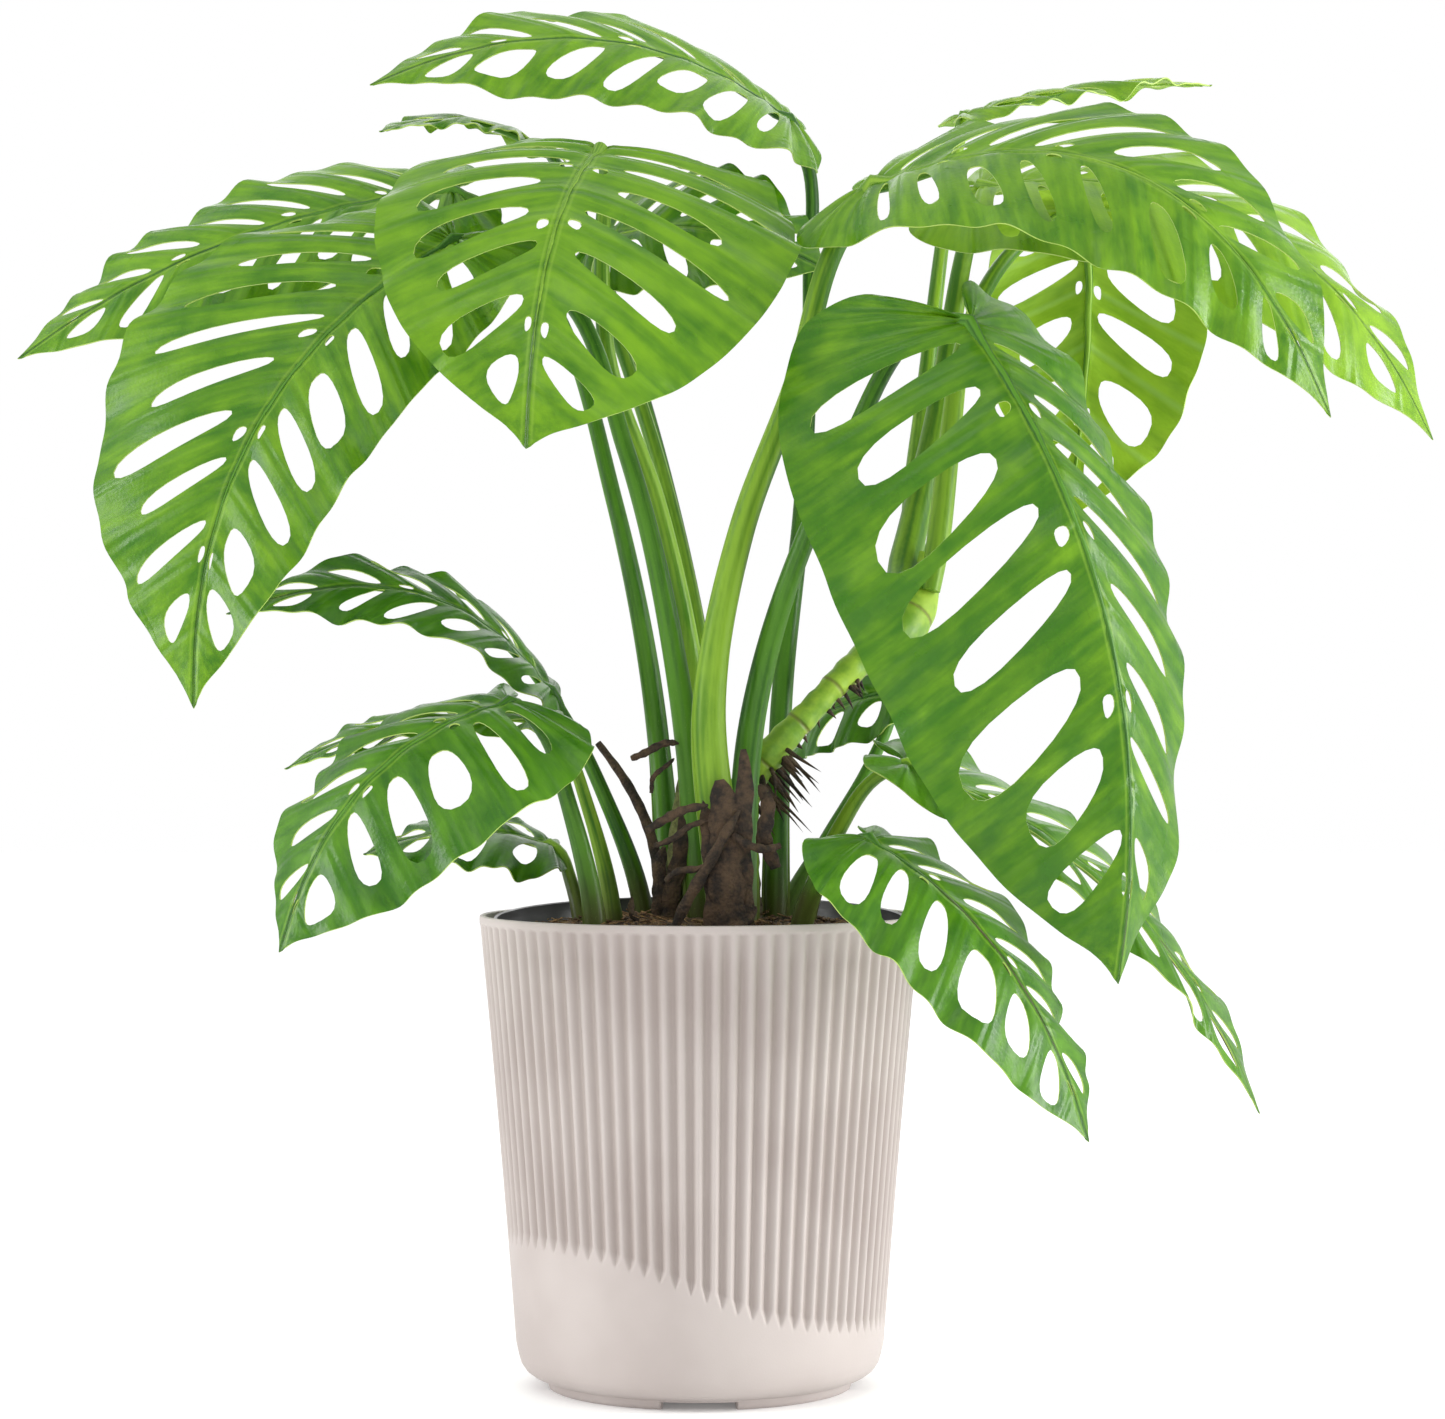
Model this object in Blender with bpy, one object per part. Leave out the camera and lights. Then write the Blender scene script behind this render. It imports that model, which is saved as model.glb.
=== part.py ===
"""A swiss cheese plant in a ribbed cover pot, with its nursery pot, soil, stems, stalks and holed blades.

Metres, +Z up. The pot's axis is the Z axis and it stands on z = 0. Leaf and stem measures are in
millimetres from the point where the pot's axis meets the soil: (to the right, to the back, up).
"""
import math

import bmesh
import bpy
import numpy as np
from mathutils import Vector

MM = 0.001

POT_RIM_RADIUS = 0.090
POT_HEIGHT = 0.192
POT_BASE_RADIUS = 0.0755
POT_WALL = 0.0026
POT_FLOOR = 0.008
RIB_COUNT = 80
RIB_DEPTH = 0.0014
FOOT_RADIUS = POT_BASE_RADIUS - 0.0127
FOOT_HEIGHT = 0.004
FOOT_NOTCH = 0.031
FOOT_NOTCH_COUNT = 4
PAD_RADIUS = 0.012

LINER_RIM_RADIUS = POT_RIM_RADIUS - 0.0059
LINER_BASE_RADIUS = POT_BASE_RADIUS - 0.0115
LINER_WALL = 0.0012
LINER_HEIGHT = POT_HEIGHT - 0.0096
LINER_TILT = 0.053
SOIL_TOP = POT_HEIGHT - 0.006
SOIL_MOUND = 0.005

BLADE_THICKNESS = 0.0009
BLADE_ROWS = 6
SHORTEST_HOLE = 0.45
NARROWEST_HOLE = 0.052
GAP = 0.00035
SOIL_CLEARANCE = 0.0004
FOLD_STEP = 0.0002
BLADE_CLEARANCE = GAP + BLADE_THICKNESS / 2
STALK_DEPTH = 20

STEMS = {
    "left_stem": {
        "line": [(-13, -2, -22), (-11, -2, 0), (-9, -3, 28), (-7, -4, 50), (-5, -5, 63)],
        "radii": (6, 5.6, 5.2, 4.4, 3.6),
    },
    "right_stem": {
        "line": [
            (21, 0, -22), (20, 0, 0), (18, -2, 28), (17, -3, 46), (20, -5, 61), (30, -6, 73),
            (44, -4, 88), (63, 5, 107), (78, 17, 118), (84, 22, 123), (88, 26, 128),
        ],
        "radii": (6, 6.2, 6, 6.4, 7, 6.8, 5.6, 5.2, 6.2, 7.8, 9.2),
    },
    "dried_stalk": {
        "line": [(-42, 8, 76), (-28, 4, 56), (-20, -1, 38), (-17, -7, 20), (-18, -12, 0), (-19, -14, -16)],
        "radii": (1.4, 2, 2.2, 2.2, 2, 1.8),
    },
}

# Half of a blade laid flat: (share of the way from the stalk to the tip, share of the half's width).
HALF_OUTLINE = [
    (-0.03, 0.09), (-0.07, 0.30), (-0.06, 0.56), (0.03, 0.82), (0.17, 0.98), (0.34, 1),
    (0.52, 0.93), (0.69, 0.76), (0.82, 0.52), (0.91, 0.26), (0.96, 0.09), (1, 0),
]
FIRST_VEIN = 0.24
LAST_VEIN = 0.92

# Each leaf: its stalk's route, where the blade's neck and tip are, and which way its upper face looks.
# bow lifts the midrib's middle towards the face and sway moves it to the leaf's own right.
# widths and droop (degrees that a half falls back from the face) are for the leaf's own left, then right.
LEAVES = {
    "front_right": {
        "stalk": [(17, -20, 0), (22, -26, 90), (55, -50, 185), (92, -76, 240)],
        "neck": (105, -85, 240), "tip": (160, -110, -15), "face": (0, -1, 0.1),
        "bow": 12, "sway": -25, "widths": (65, 98), "droop": (58, 4),
        "stalk_radius": (5.5, 3.2), "veins": 8, "open": (0.44, 0.66),
    },
    "left_large": {
        "stalk": [(0, -12, 0), (-10, -20, 110), (-30, -15, 195), (-57, -4, 260), (-85, -8, 278)],
        "neck": (-100, -15, 280), "tip": (-195, -90, 90), "face": (-0.35, -0.8, 0.45),
        "bow": 21, "sway": 24, "widths": (52, 80), "droop": (10, -2),
        "stalk_radius": (5, 3), "veins": 9, "open": (0.62, 0.46),
    },
    "centre": {
        "stalk": [(5, 5, 0), (-2, 10, 98), (-18, 14, 175), (-38, 8, 235), (-40, 4, 285), (-38, -12, 311)],
        "neck": (-40, -28, 315), "tip": (-65, -125, 188), "face": (0.05, -0.75, 0.62),
        "bow": 24, "sway": 6, "widths": (92, 74), "droop": (12, 12),
        "stalk_radius": (5, 3), "veins": 7, "open": (0.46, 0.60),
    },
    "back_centre": {
        "stalk": [(8, 42, 0), (2, 54, 98), (-14, 66, 180), (-38, 68, 255), (-48, 56, 280)],
        "neck": (-44, 46, 287), "tip": (53, 8, 270), "face": (0.1, -0.75, 0.65),
        "bow": 14, "sway": 0, "widths": (50, 36), "droop": (10, 10),
        "stalk_radius": (4.5, 2.8), "veins": 5, "open": (0.42, 0.56),
    },
    "far_left": {
        "stalk": [(-13, 16, 0), (-20, 24, 98), (-36, 32, 177), (-63, 50, 261), (-84, 56, 292)],
        "neck": (-105, 60, 310), "tip": (-285, 34, 236), "face": (-0.25, -0.65, 0.7),
        "bow": 14, "sway": 4, "widths": (42, 45), "droop": (14, 10),
        "stalk_radius": (4.5, 2.8), "veins": 8, "open": (0.58, 0.44),
    },
    "top": {
        "stalk": [(31, 8, 0), (34, 18, 98), (42, 34, 170), (46, 52, 270), (44, 58, 325)],
        "neck": (37, 56, 340), "tip": (-135, 0, 345), "face": (-0.1, -0.55, 0.8),
        "bow": 28, "sway": 0, "widths": (42, 42), "droop": (16, 8),
        "stalk_radius": (4.5, 2.8), "veins": 7, "open": (0.60, 0.46),
    },
    "top_small": {
        "stalk": [(11, 62, 0), (3, 74, 98), (-13, 84, 180), (-38, 80, 266), (-56, 52, 312)],
        "neck": (-64, 32, 323), "tip": (-130, -14, 324), "face": (-0.2, -0.4, 0.9),
        "bow": 9, "sway": 0, "widths": (16, 26), "droop": (8, 8),
        "stalk_radius": (3.8, 2.2), "veins": 3, "open": (0.40, 0.50),
    },
    "right_top": {
        "stalk": [(12, -52, 0), (4, -43, 94), (17, -34, 162), (39, -32, 222), (54, -36, 274)],
        "neck": (70, -36, 300), "tip": (241, -110, 201), "face": (0.25, -0.7, 0.7),
        "bow": 50, "sway": -14, "widths": (58, 50), "droop": (6, 16),
        "stalk_radius": (6.5, 4.2), "veins": 8, "open": (0.58, 0.44),
    },
    "far_right": {
        "stalk": [(83, 20, 139), (84, 30, 146), (89, 44, 165), (99, 56, 208), (111, 58, 280)],
        "neck": (117, 32, 308), "tip": (300, 2, 200), "face": (0.35, -0.55, 0.75),
        "bow": 44, "sway": 0, "widths": (54, 56), "droop": (8, 16),
        "stalk_radius": (6, 3.6), "rooted": False, "veins": 7, "open": (0.54, 0.44),
    },
    "right_back": {
        "stalk": [(88, 37, 140), (90, 46, 147), (90, 64, 170), (96, 82, 223), (107, 94, 310)],
        "neck": (114, 101, 348), "tip": (226, 134, 366), "face": (-0.2, -0.15, 1),
        "bow": 6, "sway": 0, "widths": (26, 28), "droop": (8, 8),
        "stalk_radius": (4.5, 2.6), "rooted": False, "veins": 5, "open": (0.42, 0.50),
    },
    "back_right": {
        "stalk": [(95, 22, 139), (98, 24, 155), (104, 32, 202), (110, 42, 241), (132, 70, 284)],
        "neck": (166, 93, 308), "tip": (158, 96, 170), "face": (0, 1, 0.1),
        "bow": 8, "sway": 5, "widths": (45, 52), "droop": (8, 10),
        "stalk_radius": (4.5, 2.8), "rooted": False, "veins": 5, "open": (0.56, 0.66),
    },
    "left_mid": {
        "stalk": [(-23, 24, 0), (-41, 20, 57), (-51, 20, 78), (-58, 18, 90)],
        "neck": (-62, 16, 98), "tip": (-190, -30, 128), "face": (0.1, -0.55, 0.85),
        "bow": 30, "sway": 0, "widths": (24, 30), "droop": (12, 10),
        "stalk_radius": (4, 2.5), "veins": 6, "open": (0.40, 0.52),
    },
    "left_low": {
        "stalk": [(-42, -25, 0), (-53, -34, 54), (-61, -46, 79), (-70, -58, 90)],
        "neck": (-75, -64, 93), "tip": (-160, -108, -3), "face": (-0.25, -0.7, 0.67),
        "bow": 22, "sway": 6, "widths": (58, 43), "droop": (10, 24),
        "stalk_radius": (4.2, 2.6), "veins": 6, "open": (0.62, 0.48),
    },
    "left_inner": {
        "stalk": [(-35, -5, 0), (-46, -12, 52), (-55, -22, 77)],
        "neck": (-61, -28, 86), "tip": (-165, -44, 66), "face": (-0.1, -0.3, 0.95),
        "bow": 10, "sway": 0, "widths": (17, 22), "droop": (10, 8),
        "stalk_radius": (3.6, 2.2), "veins": 5, "open": (0.38, 0.46),
    },
    "left_bottom": {
        "stalk": [(-49, 16, 0), (-54, 20, 20), (-58, 25, 30)],
        "neck": (-63, 29, 34), "tip": (-139, 14, 30), "face": (0, -0.35, 0.94),
        "bow": 8, "sway": 0, "widths": (30, 22), "droop": (10, 8),
        "stalk_radius": (3.6, 2.4), "veins": 3, "open": (0.42, 0.50),
    },
    "rim": {
        "stalk": [(40, -48, 0), (44, -54, 16), (50, -64, 28), (57, -77, 36)],
        "neck": (66, -92, 40), "tip": (147, -130, -73), "face": (0.45, -0.65, 0.6),
        "bow": 20, "sway": 0, "widths": (38, 44), "droop": (24, 8),
        "stalk_radius": (4.5, 2.6), "veins": 6, "open": (0.48, 0.64),
    },
    "right_low": {
        "stalk": [(43, 19, 0), (49, 11, 22), (57, 0, 41), (73, -10, 63)],
        "neck": (84, -13, 68), "tip": (228, -6, -75), "face": (0.6, -0.35, 0.7),
        "bow": 24, "sway": 0, "widths": (46, 26), "droop": (8, 10),
        "stalk_radius": (4.2, 2.6), "veins": 7, "open": (0.46, 0.56),
    },
    "back_low": {
        "stalk": [(35, 44, 0), (54, 50, 36), (71, 56, 65), (81, 61, 88)],
        "neck": (83, 64, 98), "tip": (35, 102, 71), "face": (-0.6, -0.5, 0.5),
        "bow": 8, "sway": 0, "widths": (22, 24), "droop": (8, 8),
        "stalk_radius": (3.8, 2.4), "veins": 3, "open": (0.42, 0.50),
    },
}


def along(points, t):
    """Points at the fractions t of a smooth curve through the given points."""
    p = np.asarray(points, float) * MM
    t = np.clip(np.atleast_1d(np.asarray(t, float)), 0, 1)
    step = np.linalg.norm(np.diff(p, axis=0), axis=1)
    knot = np.concatenate([[0], np.cumsum(step)]) / step.sum()
    h = np.diff(knot)
    slope = np.diff(p, axis=0) / h[:, None]
    bend = np.empty_like(p)
    bend[1:-1] = (slope[:-1] * h[1:, None] + slope[1:] * h[:-1, None]) / (h[1:] + h[:-1])[:, None]
    bend[0] = 1.5 * slope[0] - 0.5 * bend[1]
    bend[-1] = 1.5 * slope[-1] - 0.5 * bend[-2]
    i = np.clip(np.searchsorted(knot, t, side="right") - 1, 0, len(h) - 1)
    u = ((t - knot[i]) / h[i])[:, None]
    w = h[i][:, None]
    return (
        (2 * u**3 - 3 * u**2 + 1) * p[i]
        + (u**3 - 2 * u**2 + u) * w * bend[i]
        + (3 * u**2 - 2 * u**3) * p[i + 1]
        + (u**3 - u**2) * w * bend[i + 1]
    )


def unit(v):
    v = np.asarray(v, float)
    return v / np.maximum(np.linalg.norm(v, axis=-1, keepdims=True), 1e-12)


def material(name, colour, roughness):
    made = bpy.data.materials.new(name)
    made.use_nodes = True
    shader = made.node_tree.nodes["Principled BSDF"]
    shader.inputs["Base Color"].default_value = (*colour, 1)
    shader.inputs["Roughness"].default_value = roughness
    shader.inputs["Metallic"].default_value = 0
    made.diffuse_color = (*colour, 1)
    return made


def add_object(name, mesh, finish, parent=None, smooth=True):
    obj = bpy.data.objects.new(name, mesh)
    bpy.context.scene.collection.objects.link(obj)
    mesh.materials.append(finish)
    if smooth and isinstance(mesh, bpy.types.Mesh):
        mesh.shade_smooth()
        mesh.set_sharp_from_angle(angle=math.radians(40))
    obj.parent = parent
    return obj


def mesh_from(bm, name):
    bmesh.ops.recalc_face_normals(bm, faces=bm.faces)
    mesh = bpy.data.meshes.new(name)
    bm.to_mesh(mesh)
    bm.free()
    return mesh


def turned(name, profile, segments):
    """A solid turned about Z from a closed (radius, height) profile; points on the axis are shared."""
    bm = bmesh.new()
    verts = [bm.verts.new((r, 0, z)) for r, z in profile]
    edges = [bm.edges.new(pair) for pair in zip(verts, verts[1:])]
    bmesh.ops.spin(
        bm, geom=verts + edges, cent=(0, 0, 0), axis=(0, 0, 1),
        angle=2 * math.pi, steps=segments, use_merge=True,
    )
    bmesh.ops.remove_doubles(bm, verts=bm.verts, dist=1e-6)
    return bm


def cut(obj, cutter, solver="EXACT"):
    cutter.hide_render = True
    cutter.display_type = "WIRE"
    boolean = obj.modifiers.new("cut", "BOOLEAN")
    boolean.operation = "DIFFERENCE"
    boolean.solver = solver
    boolean.object = cutter


def rib_start(angle):
    """Height of the ribs' pointed lower ends, a slanted wave around the pot."""
    wave = math.tanh(1.8 * math.cos(angle)) / math.tanh(1.8)
    return 0.0414 - 0.0177 * wave - 0.0043 * math.sin(angle)


def pot_radius(z):
    """Outer radius of the pot's smooth side."""
    t = (z - 0.024) / (POT_HEIGHT - 0.024)
    return POT_BASE_RADIUS + (POT_RIM_RADIUS - POT_BASE_RADIUS) * (t - 0.12 * t * (1 - t))


def cover_pot(finish):
    top = POT_HEIGHT
    profile = [
        (0, 0), (FOOT_RADIUS - 0.0002, 0), (FOOT_RADIUS + 0.0006, FOOT_HEIGHT),
        (POT_BASE_RADIUS - 0.0043, 0.0075), (pot_radius(0.0185), 0.0185),
    ]
    rows = [0.030, 0.045, top - 0.006]
    profile += [(pot_radius(z), z) for z in rows]
    profile += [(POT_RIM_RADIUS, top - 0.003), (POT_RIM_RADIUS, top), (0, top)]
    bm = turned("cover_pot", profile, 2 * RIB_COUNT)
    low = POT_HEIGHT - 0.006
    for v in bm.verts:
        radius = math.hypot(v.co.x, v.co.y)
        if radius < FOOT_RADIUS + 0.003 or not 0.025 < v.co.z < low + 0.001:
            continue
        angle = math.atan2(v.co.y, v.co.x)
        start = rib_start(angle)
        if v.co.z < 0.032:
            v.co.z = start - 0.003
            radius = pot_radius(v.co.z)
        elif v.co.z < low - 0.001:
            v.co.z = start + 0.004
            radius = pot_radius(v.co.z)
        valley = round(angle / (2 * math.pi) * 2 * RIB_COUNT) % 2
        if v.co.z > start and valley:
            radius -= RIB_DEPTH
        v.co.x = radius * math.cos(angle)
        v.co.y = radius * math.sin(angle)
    pot = add_object("cover_pot", mesh_from(bm, "cover_pot"), finish)
    inside = [
        (0, POT_FLOOR), (POT_BASE_RADIUS - 0.0115, POT_FLOOR),
        (pot_radius(0.020) - POT_WALL - RIB_DEPTH, 0.020),
        (pot_radius(0.10) - POT_WALL - RIB_DEPTH, 0.10),
        (POT_RIM_RADIUS - POT_WALL, top + 0.001), (0, top + 0.001),
    ]
    hollow = turned("pot_hollow", inside, 48)
    cut(pot, add_object("pot_hollow", mesh_from(hollow, "pot_hollow"), finish, smooth=False))
    for k in range(FOOT_NOTCH_COUNT):
        bm = bmesh.new()
        bmesh.ops.create_cube(bm, size=1)
        bmesh.ops.scale(bm, vec=(FOOT_NOTCH, 0.016, 2 * FOOT_HEIGHT * 0.6), verts=bm.verts)
        notch = add_object(f"foot_notch_{k}", mesh_from(bm, "foot_notch"), finish, smooth=False)
        turn = -math.pi / 2 + k * 2 * math.pi / FOOT_NOTCH_COUNT
        reach = FOOT_RADIUS - 0.002
        notch.location = (reach * math.cos(turn), reach * math.sin(turn), 0)
        notch.rotation_euler.z = turn + math.pi / 2
        cut(pot, notch)
    recess = [
        (PAD_RADIUS, -0.001), (FOOT_RADIUS - 0.004, -0.001), (FOOT_RADIUS - 0.005, FOOT_HEIGHT * 0.6),
        (PAD_RADIUS, FOOT_HEIGHT * 0.6), (PAD_RADIUS, -0.001),
    ]
    under = turned("foot_recess", recess, 32)
    cut(pot, add_object("foot_recess", mesh_from(under, "foot_recess"), finish, smooth=False))
    return pot


def nursery_pot(finish, parent):
    base = POT_FLOOR + 0.0006
    top = base + LINER_HEIGHT
    wall = LINER_WALL
    profile = [
        (0, base), (LINER_BASE_RADIUS - 0.004, base), (LINER_BASE_RADIUS, base + 0.004),
        (LINER_RIM_RADIUS - 0.0015, top - 0.008), (LINER_RIM_RADIUS, top - 0.007),
        (LINER_RIM_RADIUS + 0.0002, top), (LINER_RIM_RADIUS - wall, top),
        (LINER_RIM_RADIUS - 0.0016 - wall, top - 0.009),
        (LINER_BASE_RADIUS - wall, base + 0.005), (LINER_BASE_RADIUS - 0.005, base + wall),
        (0, base + wall),
    ]
    bm = turned("nursery_pot", profile, 32)
    for v in bm.verts:
        v.co.z += LINER_TILT * v.co.y * (v.co.z - base) / LINER_HEIGHT
    return add_object("nursery_pot", mesh_from(bm, "nursery_pot"), finish, parent)


def soil_height(r, edge):
    return SOIL_TOP + SOIL_MOUND * max(0, 1 - (r / (0.88 * edge)) ** 2)


def soil(finish, parent):
    base = POT_FLOOR + 0.0006 + LINER_WALL + 0.0004
    edge = LINER_RIM_RADIUS - 0.0016 - LINER_WALL - 0.0012
    side = LINER_BASE_RADIUS - LINER_WALL - 0.0008
    profile = [(0, base), (LINER_BASE_RADIUS - 0.0062, base), (side, base + 0.006)]
    profile += [(edge, SOIL_TOP)]
    profile += [(r * edge, soil_height(r * edge, edge)) for r in (0.82, 0.56, 0.25, 0)]
    bm = turned("soil", profile, 32)
    return add_object("soil", mesh_from(bm, "soil"), finish, parent)


def rod(name, points, radii, finish, parent, sides=1, count=None):
    """A round stem through the points (millimetres above the soil), tapering from one radius to the next."""
    data = bpy.data.curves.new(name, "CURVE")
    data.dimensions = "3D"
    data.bevel_depth = 1
    data.bevel_resolution = sides
    data.use_fill_caps = True
    data.render_resolution_u = 0
    spline = data.splines.new("POLY")
    count = count or max(4, len(points))
    t = np.linspace(0, 1, count)
    path = along(points, t) + np.array([0, 0, SOIL_TOP])
    size = np.interp(t, np.linspace(0, 1, len(radii)), radii) * MM
    spline.points.add(count - 1)
    for point, place, radius in zip(spline.points, path, size):
        point.co = (*place, 1)
        point.radius = radius
    obj = bpy.data.objects.new(name, data)
    bpy.context.scene.collection.objects.link(obj)
    data.materials.append(finish)
    obj.parent = parent
    return obj


def socket_for(body, name, line, radii, finish, clearance=SOIL_CLEARANCE, solver="EXACT"):
    """Opens the soil or a blade around a stem or stalk, a little wider and longer than it is."""
    wider = [r + clearance / MM for r in radii]
    ends = np.array(line, float)
    ends[0] -= unit(ends[1] - ends[0]) * clearance / MM
    ends[-1] += unit(ends[-1] - ends[-2]) * clearance / MM
    guide = rod("socket_curve", ends, wider, finish, None, 1, len(line))
    graph = bpy.context.evaluated_depsgraph_get()
    mesh = bpy.data.meshes.new_from_object(guide.evaluated_get(graph), depsgraph=graph)
    bpy.data.objects.remove(guide, do_unlink=True)
    bm = bmesh.new()
    bm.from_mesh(mesh)
    bmesh.ops.remove_doubles(bm, verts=bm.verts, dist=1e-6)
    cutter = bpy.data.objects.new("socket_" + name, mesh_from(bm, "socket_" + name))
    bpy.context.scene.collection.objects.link(cutter)
    cut(body, cutter, solver)


def holes(plan, side):
    """One long hole between each two side veins, and small ones beside the midrib, none quite alike."""
    pitch = (LAST_VEIN - FIRST_VEIN) / plan["veins"]
    made = []
    for k in range(plan["veins"]):
        swing = math.sin(1.9 * k + 2.3 * side + plan["veins"])
        middle = FIRST_VEIN + (k + 0.5 + 0.06 * swing) * pitch
        inner = 0.15 + 0.06 * swing
        outer = 0.79 + 0.09 * math.sin(2.7 * k + side)
        made.append((middle, inner, middle + 0.016, outer, pitch * plan["open"][side > 0] * (1 + 0.25 * swing)))
        if k % 2:
            made.append((middle + pitch / 2, 0.05, middle + pitch / 2, 0.12, pitch * 0.25))
    return made


def grown(plan):
    """A leaf's lines, worked out from its plan: its midrib, both margins and the holes of both halves."""
    neck, tip = np.array(plan["neck"], float), np.array(plan["tip"], float)
    length = np.linalg.norm(tip - neck)
    heading = (tip - neck) / length
    face = np.array(plan["face"], float)
    face = unit(face - heading * np.dot(face, heading))
    right = np.cross(heading, face)
    lift = face * plan["bow"] + right * plan["sway"]

    def rib(share):
        return neck + heading * share * length + lift * 4 * share * (1 - share)

    def margin(side, width, droop):
        out = right * side * math.cos(math.radians(droop)) - face * math.sin(math.radians(droop))
        return [tuple(rib(share) + out * width * across) for share, across in HALF_OUTLINE]

    leaf = dict(plan)
    leaf["spine"] = [tuple(rib(k / 8)) for k in range(9)]
    leaf["left"] = margin(-1, plan["widths"][0], plan["droop"][0])
    leaf["right"] = margin(1, plan["widths"][1], plan["droop"][1])
    leaf["holes_left"] = holes(plan, -1)
    leaf["holes_right"] = holes(plan, 1)
    leaf.update(arch=(0.06, 0.06), fan=0.22, sweep=1.4)
    return leaf


def junction(leaf):
    """Where the stalk ends and the blade starts: (end of stalk, its direction, blade's side direction)."""
    start = np.array(leaf["spine"][0], float)
    way = unit(start - np.array(leaf["stalk"][-1], float))
    side = np.array(leaf["right"][0], float) - np.array(leaf["left"][0], float)
    side = unit(side - way * np.dot(side, way))
    heading = unit(np.array(leaf["spine"][1], float) - start)
    normal = unit(np.cross(side, heading))
    tilt = abs(np.dot(normal, way))
    end = start - way * (GAP + BLADE_THICKNESS / 2 * (tilt + 0.25)) / MM
    return end, way, side


def stalk_line(leaf):
    line = [tuple(p) for p in leaf["stalk"]]
    end, way, _ = junction(leaf)
    line.append(tuple(end))
    if leaf.get("rooted", True):
        x, y, z = line[0]
        line = [(x, y, -STALK_DEPTH)] + line
    return line


def blade_points(leaf, a, s):
    """The blade's middle surface: a runs from the stalk to the tip, s from -1 at the left margin to 1."""
    a, s = np.asarray(a, float), np.asarray(s, float)
    fan = leaf["fan"]
    u = np.clip((a - fan) / (1 - fan), 0, 1) ** leaf["sweep"]
    middle = along(leaf["spine"], u)
    heading = unit(along(leaf["spine"], u + 0.02) - along(leaf["spine"], u - 0.02))
    port, starboard = along(leaf["left"], a), along(leaf["right"], a)
    up = unit(np.cross(starboard - port + heading * 1e-6, heading))
    reach = np.where((s < 0)[:, None], port, starboard) - middle
    share = np.abs(s)[:, None]
    arch = np.where(s < 0, leaf["arch"][0], leaf["arch"][1])[:, None]
    size = np.linalg.norm(reach, axis=1)[:, None]
    rise = arch * 4 * share * (1 - share) * size * np.minimum(1, 3 * (1 - a))[:, None]
    return middle + reach * share + up * rise


def hole_outline(hole, side, count):
    """An egg-shaped hole between two veins: its inner and outer ends as (along, across), and its width."""
    first, inner, last, outer, width = hole
    points = []
    for k in range(count):
        turn = 2 * math.pi * k / count
        q = 0.5 - 0.5 * math.cos(turn)
        across = inner + (outer - inner) * q
        half = width / 2 * math.sin(turn)
        points.append((first + (last - first) * q + half, side * across))
    return points


def flat_sheet(leaf, rows, shortest, narrowest):
    """The blade laid out flat as (a, s), with its larger holes, cut into strips that can bend."""
    bm = bmesh.new()
    edge = [k / (2 * rows) for k in range(2 * rows + 1)]
    loops = [[(a, -1) for a in edge] + [(a, 1) for a in reversed(edge)]]
    for key, side in (("holes_left", -1), ("holes_right", 1)):
        for hole in leaf[key]:
            if hole[3] - hole[1] >= shortest and hole[4] >= narrowest:
                loops.append(hole_outline(hole, side, 6))
    for loop in loops:
        verts = [bm.verts.new((a, s, 0)) for a, s in loop]
        for first, second in zip(verts, verts[1:] + verts[:1]):
            bm.edges.new((first, second))
    bmesh.ops.triangle_fill(bm, use_beauty=True, use_dissolve=False, edges=bm.edges)
    planes = [((k / rows, 0, 0), (1, 0, 0)) for k in range(1, rows)]
    planes += [((0, s, 0), (0, 1, 0)) for s in (-0.5, 0, 0.5)]
    for place, normal in planes:
        geom = list(bm.verts) + list(bm.edges) + list(bm.faces)
        bmesh.ops.bisect_plane(bm, geom=geom, dist=1e-5, plane_co=place, plane_no=normal)
    return bm


def blade(name, leaf, finish, parent):
    bm = flat_sheet(leaf, BLADE_ROWS, SHORTEST_HOLE, NARROWEST_HOLE)
    verts = list(bm.verts)
    flat = np.array([v.co[:2] for v in verts])
    shaped = blade_points(leaf, flat[:, 0], flat[:, 1]) + np.array([0, 0, SOIL_TOP])
    for v, place in zip(verts, shaped):
        v.co = place
    bmesh.ops.remove_doubles(bm, verts=bm.verts, dist=2e-4)
    bmesh.ops.dissolve_degenerate(bm, edges=bm.edges, dist=5e-5)
    bmesh.ops.recalc_face_normals(bm, faces=bm.faces)
    mesh = bpy.data.meshes.new(name)
    bm.to_mesh(mesh)
    bm.free()
    obj = add_object(name, mesh, finish, parent)
    thick = obj.modifiers.new("thickness", "SOLIDIFY")
    thick.thickness = BLADE_THICKNESS
    thick.offset = 0
    thick.use_even_offset = False
    return obj


def clear_scene():
    for obj in list(bpy.data.objects):
        bpy.data.objects.remove(obj, do_unlink=True)


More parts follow.
